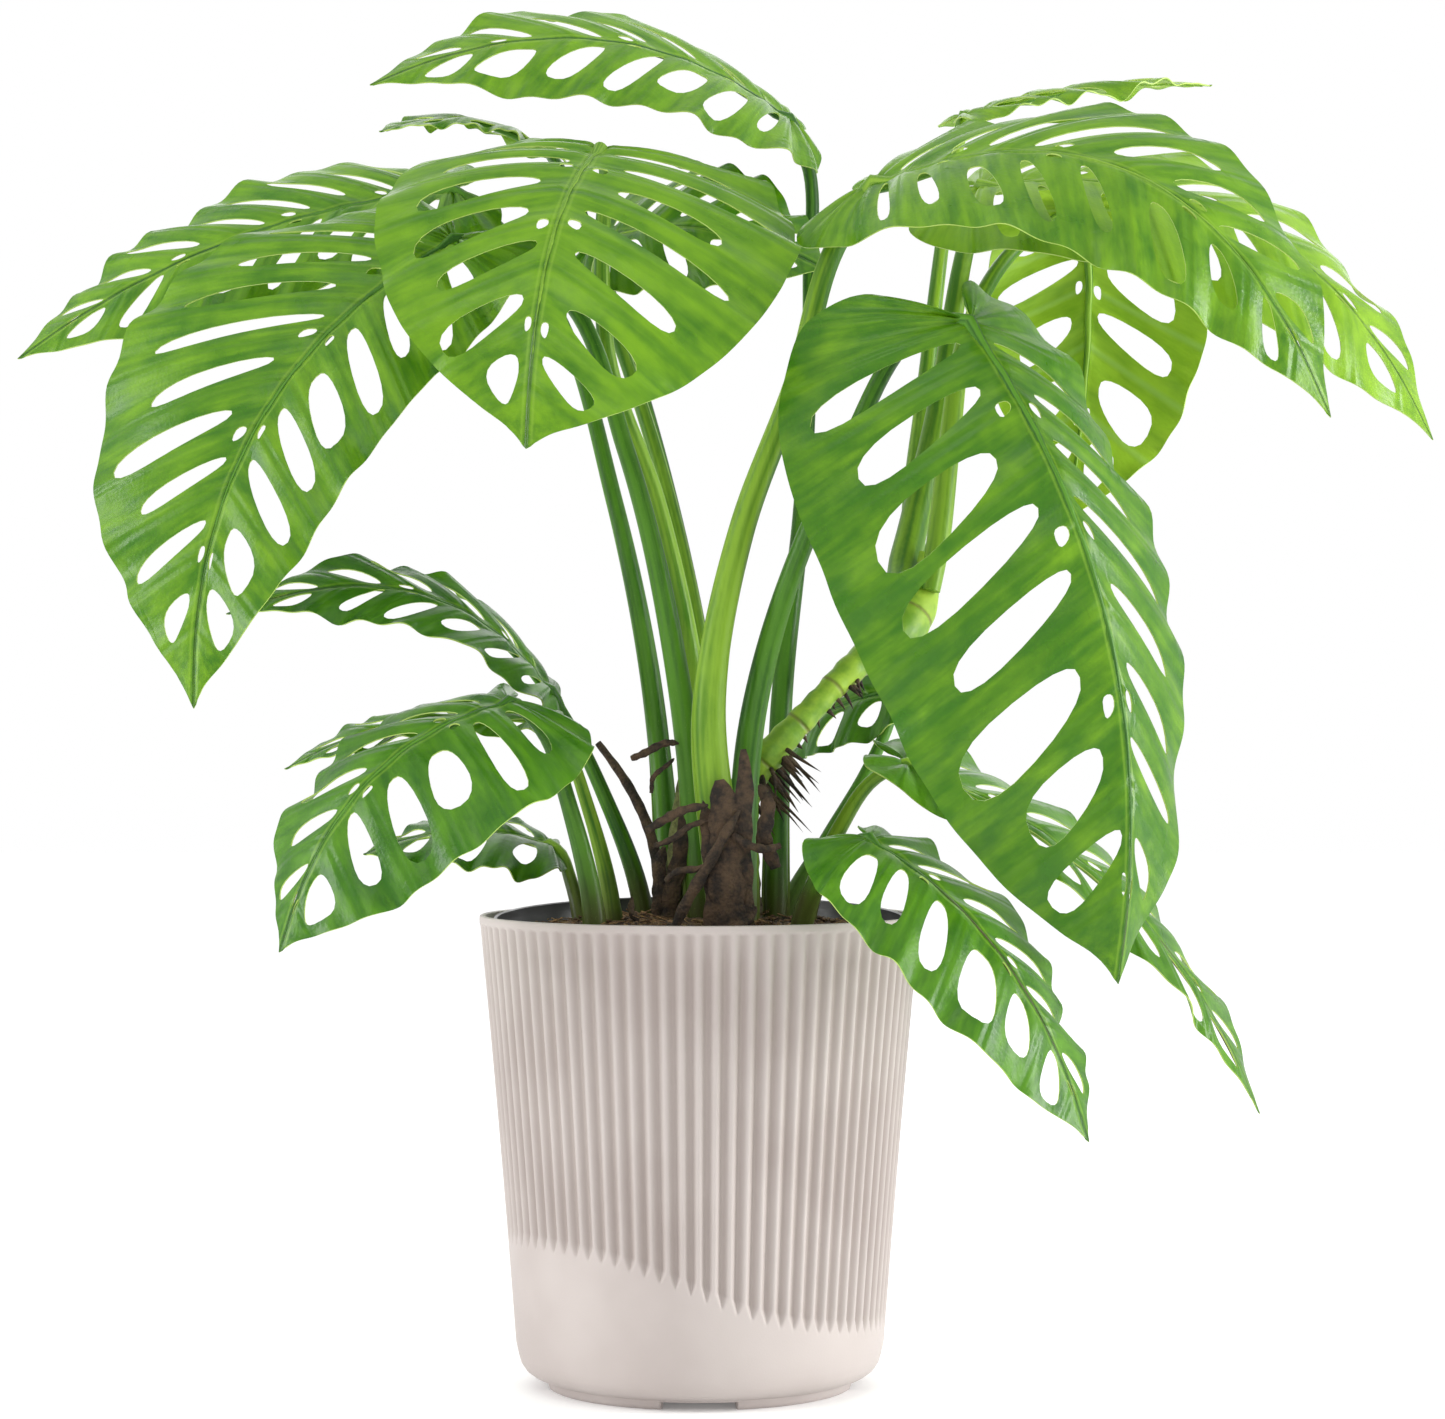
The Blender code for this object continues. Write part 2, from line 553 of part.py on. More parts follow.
def main():
    clear_scene()
    ceramic = material("pot_finish", (0.62, 0.55, 0.53), 0.5)
    black = material("liner_finish", (0.012, 0.012, 0.012), 0.5)
    earth = material("soil_finish", (0.045, 0.028, 0.018), 0.95)
    green = material("leaf_finish", (0.10, 0.26, 0.02), 0.35)
    stalk_green = material("stalk_finish", (0.20, 0.34, 0.05), 0.45)
    bark = material("stem_finish", (0.14, 0.12, 0.06), 0.75)
    pot = cover_pot(ceramic)
    nursery_pot(black, pot)
    bed = soil(earth, pot)
    for name, stem in STEMS.items():
        rod(name, stem["line"], stem["radii"], bark, pot, 1, len(stem["line"]))
        socket_for(bed, name, stem["line"], stem["radii"], bark)
    for name, plan in LEAVES.items():
        leaf = grown(plan)
        thick, thin = leaf["stalk_radius"]
        line = stalk_line(leaf)
        radii = np.interp(np.linspace(0, 1, len(line)), (0, 0.3, 1), (thick, thick, thin))
        rod("stalk_" + name, line, radii, stalk_green, pot, 1, len(line))
        if leaf.get("rooted", True):
            socket_for(bed, name, line, radii, bark)
        leaf_blade = blade("blade_" + name, leaf, green, pot)
        # a blade folded over itself is there twice beside its stalk, so it is cut twice
        socket_for(leaf_blade, "fold_" + name, line, radii, bark, BLADE_CLEARANCE - FOLD_STEP, "MANIFOLD")
        socket_for(leaf_blade, "end_" + name, line, radii, bark, BLADE_CLEARANCE, "MANIFOLD")


main()
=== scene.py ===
import math

import bmesh
import bpy
import numpy as np
from mathutils import Matrix, Vector, noise


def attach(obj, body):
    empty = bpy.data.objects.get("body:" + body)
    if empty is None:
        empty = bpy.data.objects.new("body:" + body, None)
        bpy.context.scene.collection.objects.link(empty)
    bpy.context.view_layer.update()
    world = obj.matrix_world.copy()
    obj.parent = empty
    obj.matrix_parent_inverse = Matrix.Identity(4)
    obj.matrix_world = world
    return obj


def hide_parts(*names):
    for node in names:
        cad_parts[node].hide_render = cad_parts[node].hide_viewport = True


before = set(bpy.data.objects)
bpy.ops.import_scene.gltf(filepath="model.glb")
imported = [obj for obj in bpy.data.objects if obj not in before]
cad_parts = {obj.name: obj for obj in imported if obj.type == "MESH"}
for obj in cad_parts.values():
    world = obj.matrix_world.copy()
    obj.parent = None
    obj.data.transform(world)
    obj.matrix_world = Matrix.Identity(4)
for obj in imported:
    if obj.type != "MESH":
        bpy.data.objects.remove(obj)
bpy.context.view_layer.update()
mm = 0.001
rng = np.random.default_rng(7)


# a wire is one shader socket, and sums and products of wires add their own nodes

class Wire:
    def __init__(self, finish, socket):
        self.finish, self.socket = finish, socket

    def __add__(self, other):
        return self.finish.math("ADD", self, other)

    def __sub__(self, other):
        return self.finish.math("SUBTRACT", self, other)

    def __mul__(self, other):
        return self.finish.math("MULTIPLY", self, other)


class Finish:
    def __init__(self, name):
        self.material = bpy.data.materials.new(name)
        self.material.use_nodes = True
        self.nodes = self.material.node_tree.nodes
        self.nodes.clear()

    def node(self, kind, settings=None, inputs=None, output=0):
        made = self.nodes.new(kind)
        for key, value in (settings or {}).items():
            setattr(made, key, value)
        for key, value in (inputs or {}).items():
            if isinstance(value, Wire):
                self.material.node_tree.links.new(value.socket, made.inputs[key])
            else:
                made.inputs[key].default_value = value
        return Wire(self, made.outputs[output]) if made.outputs else made

    def math(self, operation, *values):
        return self.node("ShaderNodeMath", {"operation": operation}, dict(enumerate(values)))

    def mix(self, factor, first, second, blend="MIX"):
        settings = {"data_type": "RGBA", "blend_type": blend, "clamp_factor": True}
        return self.node("ShaderNodeMix", settings, {0: factor, 6: first, 7: second}, 2)

    def ramp(self, value, low, high, start=0.0, end=1.0):  # smooth step from start to end
        settings = {"interpolation_type": "SMOOTHSTEP"}
        inputs = {0: value, 1: low, 2: high, 3: start, 4: end}
        return self.node("ShaderNodeMapRange", settings, inputs)

    def place(self):
        return self.node("ShaderNodeTexCoord", output=3)

    def scaled(self, vector, scale):
        return self.node("ShaderNodeVectorMath", {"operation": "MULTIPLY"}, {0: vector, 1: scale})

    def noise(self, vector, scale, detail=3.0, rough=0.5):
        inputs = {"Vector": vector, "Scale": scale, "Detail": detail, "Roughness": rough}
        return self.node("ShaderNodeTexNoise", None, inputs)

    def cells(self, vector, scale):
        return self.node("ShaderNodeTexVoronoi", None, {"Vector": vector, "Scale": scale})

    def attribute(self, name, output=1):
        return self.node("ShaderNodeAttribute", {"attribute_name": name}, None, output)

    def parts(self, vector):
        first = self.node("ShaderNodeSeparateXYZ", None, {0: vector})
        return [Wire(self, out) for out in first.socket.node.outputs]

    def bump(self, height, distance, strength=1.0):
        inputs = {"Height": height, "Distance": distance, "Strength": strength}
        return self.node("ShaderNodeBump", None, inputs)

    def surface(self, behind=None, share=0.0, **inputs):
        named = {key.replace("_", " "): value for key, value in inputs.items()}
        shader = self.node("ShaderNodeBsdfPrincipled", None, named)
        if behind is not None:
            glow = self.node("ShaderNodeBsdfTranslucent", None, {"Color": behind})
            shader = self.node("ShaderNodeMixShader", None, {0: share, 1: shader, 2: glow})
        self.node("ShaderNodeOutputMaterial", None, {"Surface": shader})
        return self.material


def rgb(red, green, blue):  # a display colour, 0 to 255, as the linear colour a shader takes
    def linear(level):
        level /= 255
        return level / 12.92 if level <= 0.04045 else ((level + 0.055) / 1.055) ** 2.4

    return (linear(red), linear(green), linear(blue), 1)


# mesh helpers

def meshObject(name, bm, finishes, sharp, fixNormals=True):  # sharp: degrees, and 0 for none
    if fixNormals:
        bmesh.ops.recalc_face_normals(bm, faces=bm.faces)
    mesh = bpy.data.meshes.new(name)
    bm.to_mesh(mesh)
    bm.free()
    for finish in finishes:
        mesh.materials.append(finish)
    mesh.shade_smooth()
    if sharp:
        mesh.set_sharp_from_angle(angle=math.radians(sharp))
    piece = bpy.data.objects.new(name, mesh)
    bpy.context.scene.collection.objects.link(piece)
    return piece


def ride(piece, slot, *nodes):
    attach(piece, "root")
    if nodes:
        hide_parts(*nodes)
    return piece


def unit(v):
    v = np.asarray(v, float)
    return v / np.maximum(np.linalg.norm(v, axis=-1, keepdims=True), 1e-12)


def along(points, t):  # places at the shares t of a smooth curve through points
    p = np.asarray(points, float)
    t = np.clip(np.atleast_1d(np.asarray(t, float)), 0, 1)
    step = np.linalg.norm(np.diff(p, axis=0), axis=1)
    knot = np.concatenate([[0], np.cumsum(step)]) / step.sum()
    h = np.diff(knot)
    slope = np.diff(p, axis=0) / h[:, None]
    bend = np.empty_like(p)
    bend[1:-1] = (slope[:-1] * h[1:, None] + slope[1:] * h[:-1, None]) / (h[1:] + h[:-1])[:, None]
    bend[0] = 1.5 * slope[0] - 0.5 * bend[1]
    bend[-1] = 1.5 * slope[-1] - 0.5 * bend[-2]
    i = np.clip(np.searchsorted(knot, t, side="right") - 1, 0, len(h) - 1)
    u = ((t - knot[i]) / h[i])[:, None]
    w = h[i][:, None]
    return (
        (2 * u**3 - 3 * u**2 + 1) * p[i] + (u**3 - 2 * u**2 + u) * w * bend[i]
        + (3 * u**2 - 2 * u**3) * p[i + 1] + (u**3 - u**2) * w * bend[i + 1]
    )


def turned(profile, segments):  # spins (radius, height) points about Z; a point on the axis is shared
    bm = bmesh.new()
    verts = [bm.verts.new((r, 0, z)) for r, z in profile]
    edges = [bm.edges.new(pair) for pair in zip(verts, verts[1:])]
    bmesh.ops.spin(
        bm, geom=verts + edges, cent=(0, 0, 0), axis=(0, 0, 1),
        angle=2 * math.pi, steps=segments, use_merge=True,
    )
    bmesh.ops.remove_doubles(bm, verts=bm.verts, dist=1e-6)
    return bm


def tube(bm, line, radii, sides, flat=(0.0, 1.0, 0.0), squash=1.0):
    # pulls a ring along a line and closes its ends; squash flattens it in the direction flat
    line = np.asarray(line, float)
    heading = unit(np.gradient(line, axis=0))
    across = np.array(flat, float)
    ring = bmesh.ops.create_circle(bm, cap_ends=False, radius=1, segments=sides)["verts"]
    angles = [2 * math.pi * k / sides for k in range(sides)]
    turns = [(math.cos(angle), math.sin(angle)) for angle in angles]
    rings = [ring]
    edges = list({e for v in ring for e in v.link_edges})
    for _ in line[1:]:
        grown = bmesh.ops.extrude_edge_only(bm, edges=edges)["geom"]
        edges = [g for g in grown if isinstance(g, bmesh.types.BMEdge)]
        edges = [e for e in edges if not any(v in rings[-1] for v in e.verts)]
        near = {v for e in edges for v in e.verts}
        ring = []
        for old in rings[-1]:
            beside = [e.other_vert(old) for e in old.link_edges]
            ring.append(next(v for v in beside if v in near))
        rings.append(ring)
    for i, ring in enumerate(rings):
        across = unit(across - heading[i] * np.dot(across, heading[i]))
        side = np.cross(heading[i], across)
        for v, (c, s) in zip(ring, turns):
            v.co = line[i] + radii[i] * (across * c * squash + side * s)
    bm.faces.new(rings[0])
    bm.faces.new(list(reversed(rings[-1])))
    return rings


# finishes

leafTones = {
    "fresh": {"upper": ((78, 128, 4), (134, 178, 14)), "under": ((116, 160, 20), (158, 196, 44))},
    "ripe": {"upper": ((52, 108, 3), (114, 161, 10)), "under": ((102, 148, 20), (142, 182, 44))},
    "deep": {"upper": ((38, 94, 4), (88, 142, 12)), "under": ((86, 132, 28), (122, 162, 50))},
}


def leafFinish(name, upper, dark, light):
    f = Finish(name)
    place = f.place()
    row, across, vein = f.parts(f.attribute("leafPlace"))
    rib, tone, _ = f.parts(f.attribute("leafRib"))
    fromVein = f.math("ABSOLUTE", f.math("FRACT", vein + 100.0) - 0.5)
    streaks = f.node("ShaderNodeCombineXYZ", None, {0: vein * 5.0, 1: across * 2.2, 2: tone * 9.0})
    streak = f.noise(streaks, 1.0, 3.0, 0.6)
    patches = f.noise(place, 55.0, 3.0, 0.55)
    grain = f.cells(place, 620.0)
    crease = f.ramp(fromVein, 0.0, 0.10, 1.0, 0.0)
    midrib = f.ramp(rib * (row * 1.1 + 0.75), 0.35, 1.5, 1.0, 0.0)
    shade = streak * 0.95 + patches * 0.75 + tone * 0.25 - 0.48
    colour = f.mix(f.ramp(shade, 0.15, 0.85), dark, light)
    if upper:
        # painted shade: on the upper side the colour darkens along the creases at the side veins
        colour = f.mix(crease * 0.45, colour, f.mix(0.25, dark, light))
        groove = f.ramp(rib, 0.5, 1.6, 1.0, 0.0)
        ridge = f.ramp(f.math("ABSOLUTE", rib - 2.4), 0.0, 1.0, 1.0, 0.0)
        colour = f.mix(ridge * 0.35, colour, rgb(146, 186, 60))
        # painted shade: dark green in the midrib's groove
        colour = f.mix(groove * 0.6, colour, rgb(40, 86, 10))
        height = streak * 0.35 + grain * 0.10 - crease * 0.55 - midrib * 0.9
    else:
        colour = f.mix(crease * 0.45, colour, rgb(158, 196, 104))
        colour = f.mix(midrib * 0.8, colour, rgb(160, 196, 100))
        height = streak * 0.30 + grain * 0.12 + crease * 0.5 + midrib * 0.8
    smooth, dull = (0.27, 0.40) if upper else (0.46, 0.56)
    rough = f.ramp(patches, 0.3, 0.7, smooth, dull)
    return f.surface(
        rgb(150, 200, 40), 0.22, Base_Color=colour, Roughness=rough, Specular_IOR_Level=0.38,
        Normal=f.bump(height, 0.0007, 0.8),
    )


def leafEdge(name, light):
    f = Finish(name)
    colour = f.mix(f.noise(f.place(), 200.0), light, rgb(176, 196, 96))
    return f.surface(Base_Color=colour, Roughness=0.5)


def leafFinishes(name):  # upper side, under side and the thin rim between them
    made = []
    for side in ("upper", "under"):
        dark, light = leafTones[name][side]
        title = name + side.capitalize()
        made.append(leafFinish(title, side == "upper", rgb(*dark), rgb(*light)))
    return made + [leafEdge(name + "Edge", rgb(150, 184, 82))]


def stalkFinish(name, dark, light):
    f = Finish(name)
    place = f.place()
    share, round_, tone = f.parts(f.attribute("stalkPlace"))  # tone is 1 on a wing, and less elsewhere
    fibre = f.noise(f.scaled(place, (700.0, 700.0, 24.0)), 1.0, 2.0)
    patches = f.noise(place, 38.0, 3.0)
    specks = f.cells(place, 900.0)
    stripe = f.node("ShaderNodeCombineXYZ", None, {0: round_ * 7.0, 1: share * 1.5, 2: tone * 9.0})
    stripes = f.noise(stripe, 1.0, 2.0, 0.6)
    colour = f.mix(f.ramp(stripes * 0.7 + patches * 0.2 + fibre * 0.1, 0.36, 0.62), dark, light)
    colour = f.mix(f.ramp(tone, 0.99, 1.0) * 0.35, colour, rgb(150, 184, 60))
    above = f.parts(place)[2] - soil["top"] * mm
    foot = f.ramp(above + patches * 0.03, 0.052, 0.016)
    colour = f.mix(foot * 0.8, colour, rgb(70, 62, 34))
    colour = f.mix(f.ramp(specks, 0.16, 0.05) * 0.25, colour, rgb(168, 190, 110))
    return f.surface(
        Base_Color=colour, Roughness=f.ramp(patches, 0.3, 0.7, 0.36, 0.50), Specular_IOR_Level=0.3,
        Normal=f.bump(fibre * 0.6 + patches * 0.4, 0.0005, 0.5),
    )


def greenStemFinish():  # green, with brown scars below and at its joints, and brown near the soil
    f = Finish("greenStem")
    place = f.place()
    share, _, low = f.parts(f.attribute("stalkPlace"))
    patches = f.noise(place, 60.0, 4.0, 0.6)
    joint = f.ramp(f.math("ABSOLUTE", f.math("FRACT", share * 9.0) - 0.5), 0.06, 0.0)
    colour = f.mix(f.ramp(patches, 0.35, 0.65), rgb(98, 142, 26), rgb(152, 184, 48))
    colour = f.mix(joint * 0.6, colour, rgb(96, 78, 44))
    scar = f.ramp(low * 0.55 + patches * 0.75, 0.66, 0.86)
    colour = f.mix(scar * 0.9, colour, rgb(92, 72, 50))
    colour = f.mix(f.ramp(share + patches * 0.15, 0.46, 0.32), colour, rgb(70, 58, 38))
    return f.surface(
        Base_Color=colour, Roughness=f.ramp(patches, 0.3, 0.7, 0.42, 0.66),
        Normal=f.bump(patches - joint * 0.5 + scar * 0.4, 0.0011, 0.8),
    )


def barkFinish(name, dark, light, scale):
    f = Finish(name)
    place = f.place()
    chunk = f.noise(place, scale, 5.0, 0.65)
    pits = f.cells(place, scale * 5)
    colour = f.mix(f.ramp(chunk, 0.35, 0.65), dark, light)
    # painted shade: the pits are darkened to near black
    colour = f.mix(f.ramp(pits, 0.25, 0.0) * 0.6, colour, rgb(30, 22, 14))
    return f.surface(Base_Color=colour, Roughness=0.85, Normal=f.bump(chunk + pits * 0.4, 0.0012, 0.9))


def potFinish():
    f = Finish("potFinish")
    place = f.place()
    grain = f.noise(place, 1500.0, 2.0)
    clouds = f.noise(place, 16.0, 3.0)
    colour = f.mix(f.ramp(clouds, 0.35, 0.65), rgb(176, 166, 162), rgb(185, 176, 172))
    # painted shade: the colour darkens in the grooves between the ribs, by their depth
    colour = f.mix(f.attribute("groove", 2) * 0.4, colour, rgb(122, 106, 97))
    rough = f.ramp(grain, 0.3, 0.7, 0.50, 0.60)
    return f.surface(
        Base_Color=colour, Roughness=rough, Specular_IOR_Level=0.35,
        Normal=f.bump(grain, 0.00006, 0.6),
    )


def linerFinish():
    f = Finish("linerFinish")
    place = f.place()
    scuff = f.noise(f.scaled(place, (60.0, 60.0, 400.0)), 1.0, 4.0)
    colour = f.mix(f.ramp(scuff, 0.5, 0.75) * 0.25, rgb(20, 20, 21), rgb(58, 54, 50))
    return f.surface(
        Base_Color=colour, Roughness=f.ramp(scuff, 0.3, 0.7, 0.30, 0.48),
        Normal=f.bump(scuff, 0.0003, 0.4),
    )


# cover pot

pot = {
    "rimRadius": 90, "height": 192, "baseRadius": 75.5, "wall": 2.6, "floor": 8,
    "bodyWall": 4.2, "ribs": 80, "ribDepth": 2.2, "ribEnd": 6.0,
    "footRadius": 62.8, "footNotch": 31, "notchHeight": 3.2, "notches": 4, "pad": 12,
    "sidesPerRib": 12,
}


def potRadius(z):
    t = (z - 24) / (pot["height"] - 24)
    return pot["baseRadius"] + (pot["rimRadius"] - pot["baseRadius"]) * (t - 0.12 * t * (1 - t))


def ribStart(angle):
    wave = math.tanh(1.8 * math.cos(angle)) / math.tanh(1.8)
    return 41.4 - 17.7 * wave - 4.3 * math.sin(angle)


def coverPot():
    top, foot = pot["height"], pot["footRadius"]
    outside = [
        (0, 0), (pot["pad"], 0), (pot["pad"] + 0.6, 2.4), (foot - 5, 2.4), (foot - 4, 0), (foot - 1.2, 0),
        (foot - 0.3, 0.5), (foot + 0.3, 2.2), (foot + 0.8, 3.8), (foot + 3.0, 4.6), (foot + 5.8, 5.6),
        (foot + 8.3, 7.4), (foot + 10.2, 10.2), (foot + 11.3, 14.0), (potRadius(18.5), 18.5),
    ]
    steps = [-3.0, -1.5, 0.0, 0.7, 1.5, 2.4, 3.4, 4.6, 6.0, 8.0]
    ups = [0.08, 0.2, 0.35, 0.5, 0.65, 0.8, 0.92, 1.0]
    # rows of points for the ribs, at marks that the loop below moves to their places
    marks = [30 + 2 * k for k in range(len(steps) + len(ups))]
    outside += [(potRadius(mark), mark) for mark in marks]
    rim, inner, base = pot["rimRadius"], pot["rimRadius"] - pot["wall"], pot["baseRadius"]
    lip = [
        (rim - 0.05, top - 3.0), (rim - 0.02, top - 2.3), (rim, top - 1.2), (rim - 0.2, top - 0.3),
        (rim - 0.8, top), (inner + 0.8, top), (inner + 0.2, top - 0.3), (inner, top - 1.2),
    ]
    inside = [
        (potRadius(100) - pot["bodyWall"], 100), (potRadius(22) - pot["bodyWall"], 22),
        (base - 8, 10), (base - 11.5, pot["floor"]), (0, pot["floor"]),
    ]
    profile = [(r * mm, z * mm) for r, z in outside + lip + inside]
    bm = turned(profile, pot["ribs"] * pot["sidesPerRib"])
    # groove: how deep each point lies in a rib's groove, the mask of the pot's painted shade
    layer = bm.verts.layers.float.new("groove")
    rows = {mark * 1000: k for k, mark in enumerate(marks)}
    outermost = (potRadius(22) - 3) * mm
    for v in [v for v in bm.verts if round(v.co.z * 1e6) in rows and v.co.xy.length > outermost]:
        k = rows[round(v.co.z * 1e6)]
        angle = math.atan2(v.co.y, v.co.x)
        start = ribStart(angle)
        if k < len(steps):
            z = start + steps[k]
        else:
            low = start + steps[-1]
            z = low + (top - 4.2 - low) * ups[k - len(steps)]
        t = min(1, max(0, (z - start) / pot["ribEnd"]))
        end = min(1, max(0, (top - 3.4 - z) / 1.2))
        share = (angle / (2 * math.pi) * pot["ribs"]) % 1
        groove = abs(share - 0.5) * 2  # 0 in the middle of a groove, 1 on a rib's crest
        width = 0.15 + 0.85 * t
        shape = max(0, 0.5 + 0.5 * math.cos(math.pi * min(1, groove / width)))
        deep = pot["ribDepth"] * t**0.8 * end * shape
        radius = potRadius(z) - deep
        v[layer] = deep / pot["ribDepth"]
        v.co = Vector((radius * math.cos(angle), radius * math.sin(angle), z)) * mm
    apart, deepest = 2 * math.pi / pot["notches"], pot["notchHeight"] * mm
    for v in bm.verts:
        turn = math.atan2(v.co.y, v.co.x) + math.pi / 2
        away = abs((turn + apart / 2) % apart - apart / 2) * foot
        on = foot - 6 < v.co.xy.length / mm < foot + 1 and away < pot["footNotch"] / 2
        if v.co.z < deepest and on:
            v.co.z = deepest
    made = meshObject("coverPot", bm, [potFinish()], 50)
    return ride(made, "pot", "cover_pot")


# nursery pot and its soil

liner = {
    "rimRadius": 84.1, "baseRadius": 64.0, "wall": 1.2, "bottom": 8.6, "height": 182.4, "tilt": 0.053,
}


def nurseryPot():
    base, top, wall = liner["bottom"], liner["bottom"] + liner["height"], liner["wall"]
    rim, low = liner["rimRadius"], liner["baseRadius"]
    profile = [
        (0, base), (low - 4, base), (low - 1, base + 1.2), (low, base + 4),
        (rim - 2.2, top - 12), (rim - 1.8, top - 9), (rim - 0.2, top - 8), (rim, top - 6.8),
        (rim + 0.2, top - 0.8), (rim, top - 0.1), (rim - 0.5, top),
        (rim - wall, top - 0.4), (rim - wall - 0.2, top - 6.5), (rim - 1.9 - wall, top - 9.5),
        (rim - 2.4 - wall, top - 14), (low - wall, base + 5), (low - 5, base + wall), (0, base + wall),
    ]
    bm = turned([(r * mm, z * mm) for r, z in profile], 128)
    for v in bm.verts:
        v.co.z += liner["tilt"] * v.co.y * (v.co.z / mm - base) / liner["height"]
    made = meshObject("nurseryPot", bm, [linerFinish()], 35)
    return ride(made, "liner", "nursery_pot")


soil = {
    "top": 186, "mound": 5, "moundRadius": 71, "edge": 80.0, "rings": 44, "lumps": 2.6,
    "chips": 760, "chipsOut": 79, "fibres": 230, "fibresOut": 74,
}


def soilHeight(r):
    return soil["top"] + soil["mound"] * max(0, 1 - (r / soil["moundRadius"]) ** 2)


def soilBed():
    low, edge, top = liner["bottom"] + 2.2, soil["edge"], soil["top"]
    profile = [(0, low), (56, low), (60, low + 7), (edge - 0.6, top - 12), (edge, top - 2)]
    inward = [edge * k / soil["rings"] for k in range(soil["rings"] - 1, -1, -1)]
    profile += [(r, soilHeight(r)) for r in inward]
    bm = turned([(r * mm, z * mm) for r, z in profile], 180)
    for v in bm.verts:
        if v.co.z > (soil["top"] - 6) * mm:
            rough = noise.fractal(v.co * 160, 0.9, 2.2, 5) + 0.5 * noise.noise(v.co * 45)
            near = min(1, (soil["edge"] * mm - v.co.xy.length) / (4 * mm) + 0.25)
            v.co.z += rough * soil["lumps"] * 0.55 * mm * near
    f = Finish("soilFinish")
    place = f.place()
    crumbs = f.cells(place, 420.0)
    dirt = f.noise(place, 260.0, 6.0, 0.7)
    colour = f.mix(f.ramp(dirt, 0.35, 0.7), rgb(34, 24, 16), rgb(104, 78, 54))
    finish = f.surface(
        Base_Color=colour, Roughness=0.95, Normal=f.bump(dirt + crumbs * 0.7, 0.002, 1.0)
    )
    return ride(meshObject("soilBed", bm, [finish], 0), "soil", "soil")


def scattered(name, count, finish, make):
    bm = bmesh.new()
    for _ in range(count):
        make(bm)
    return ride(meshObject(name, bm, [finish], 30), "soil")


def chip(bm):
    radius, angle = soil["chipsOut"] * math.sqrt(rng.random()), rng.random() * 2 * math.pi
    size = rng.uniform(0.6, 1.9) * (1.8 if rng.random() < 0.08 else 1)
    made = bmesh.ops.create_icosphere(bm, subdivisions=1, radius=1)["verts"]
    for v in made:
        v.co *= rng.uniform(0.75, 1.2)
    stretch = [size * rng.uniform(least, most) for least, most in ((0.8, 1.9), (0.5, 1), (0.3, 0.8))]
    bmesh.ops.scale(bm, vec=Vector(stretch) * mm, verts=made)
    turn = Matrix.Rotation(rng.random() * 6.28, 3, "Z") @ Matrix.Rotation(rng.uniform(-0.6, 0.6), 3, "X")
    bmesh.ops.rotate(bm, cent=(0, 0, 0), matrix=turn, verts=made)
    lift = soilHeight(radius) + rng.uniform(-0.3, 1.6)
    place = Vector((radius * math.cos(angle), radius * math.sin(angle), lift)) * mm
    bmesh.ops.translate(bm, vec=place, verts=made)


def fibre(bm):
    radius, angle = soil["fibresOut"] * math.sqrt(rng.random()), rng.random() * 2 * math.pi
    turn, long = rng.random() * 6.28, rng.uniform(4, 13)
    start = np.array((radius * math.cos(angle), radius * math.sin(angle), soilHeight(radius) + 0.4))
    way = np.array((math.cos(turn), math.sin(turn), rng.uniform(-0.1, 0.35)))
    side = np.array((-math.sin(turn), math.cos(turn), rng.uniform(-0.2, 0.2)))
    t = np.linspace(0, 1, 6)[:, None]
    line = start + way * long * t + side * np.sin(t * math.pi) * rng.uniform(-2.5, 2.5)
    line[:, 2] = np.minimum(line[:, 2], soilHeight(radius) + 5)
    tube(bm, line * mm, np.full(6, rng.uniform(0.13, 0.35) * mm), 4)


def soilTop():
    chips = barkFinish("chipFinish", rgb(52, 36, 22), rgb(128, 98, 66), 300.0)
    scattered("soilChips", soil["chips"], chips, chip)
    strands = barkFinish("fibreFinish", rgb(84, 60, 36), rgb(156, 122, 82), 300.0)
    scattered("soilFibres", soil["fibres"], strands, fibre)


print("pot and soil")
coverPot()
nurseryPot()
soilBed()
soilTop()


# leaves, in millimetres from where the pot's axis meets the soil (right, back, up)

# half of a blade laid flat: (share of the way from the stalk to the tip, share of the half's width)
halfOutline = [
    (-0.03, 0.09), (-0.07, 0.30), (-0.06, 0.56), (0.03, 0.82), (0.17, 0.98), (0.34, 1),
    (0.52, 0.93), (0.69, 0.76), (0.82, 0.52), (0.91, 0.26), (0.96, 0.09), (1, 0),
]
veins = {"first": 0.24, "last": 0.92}

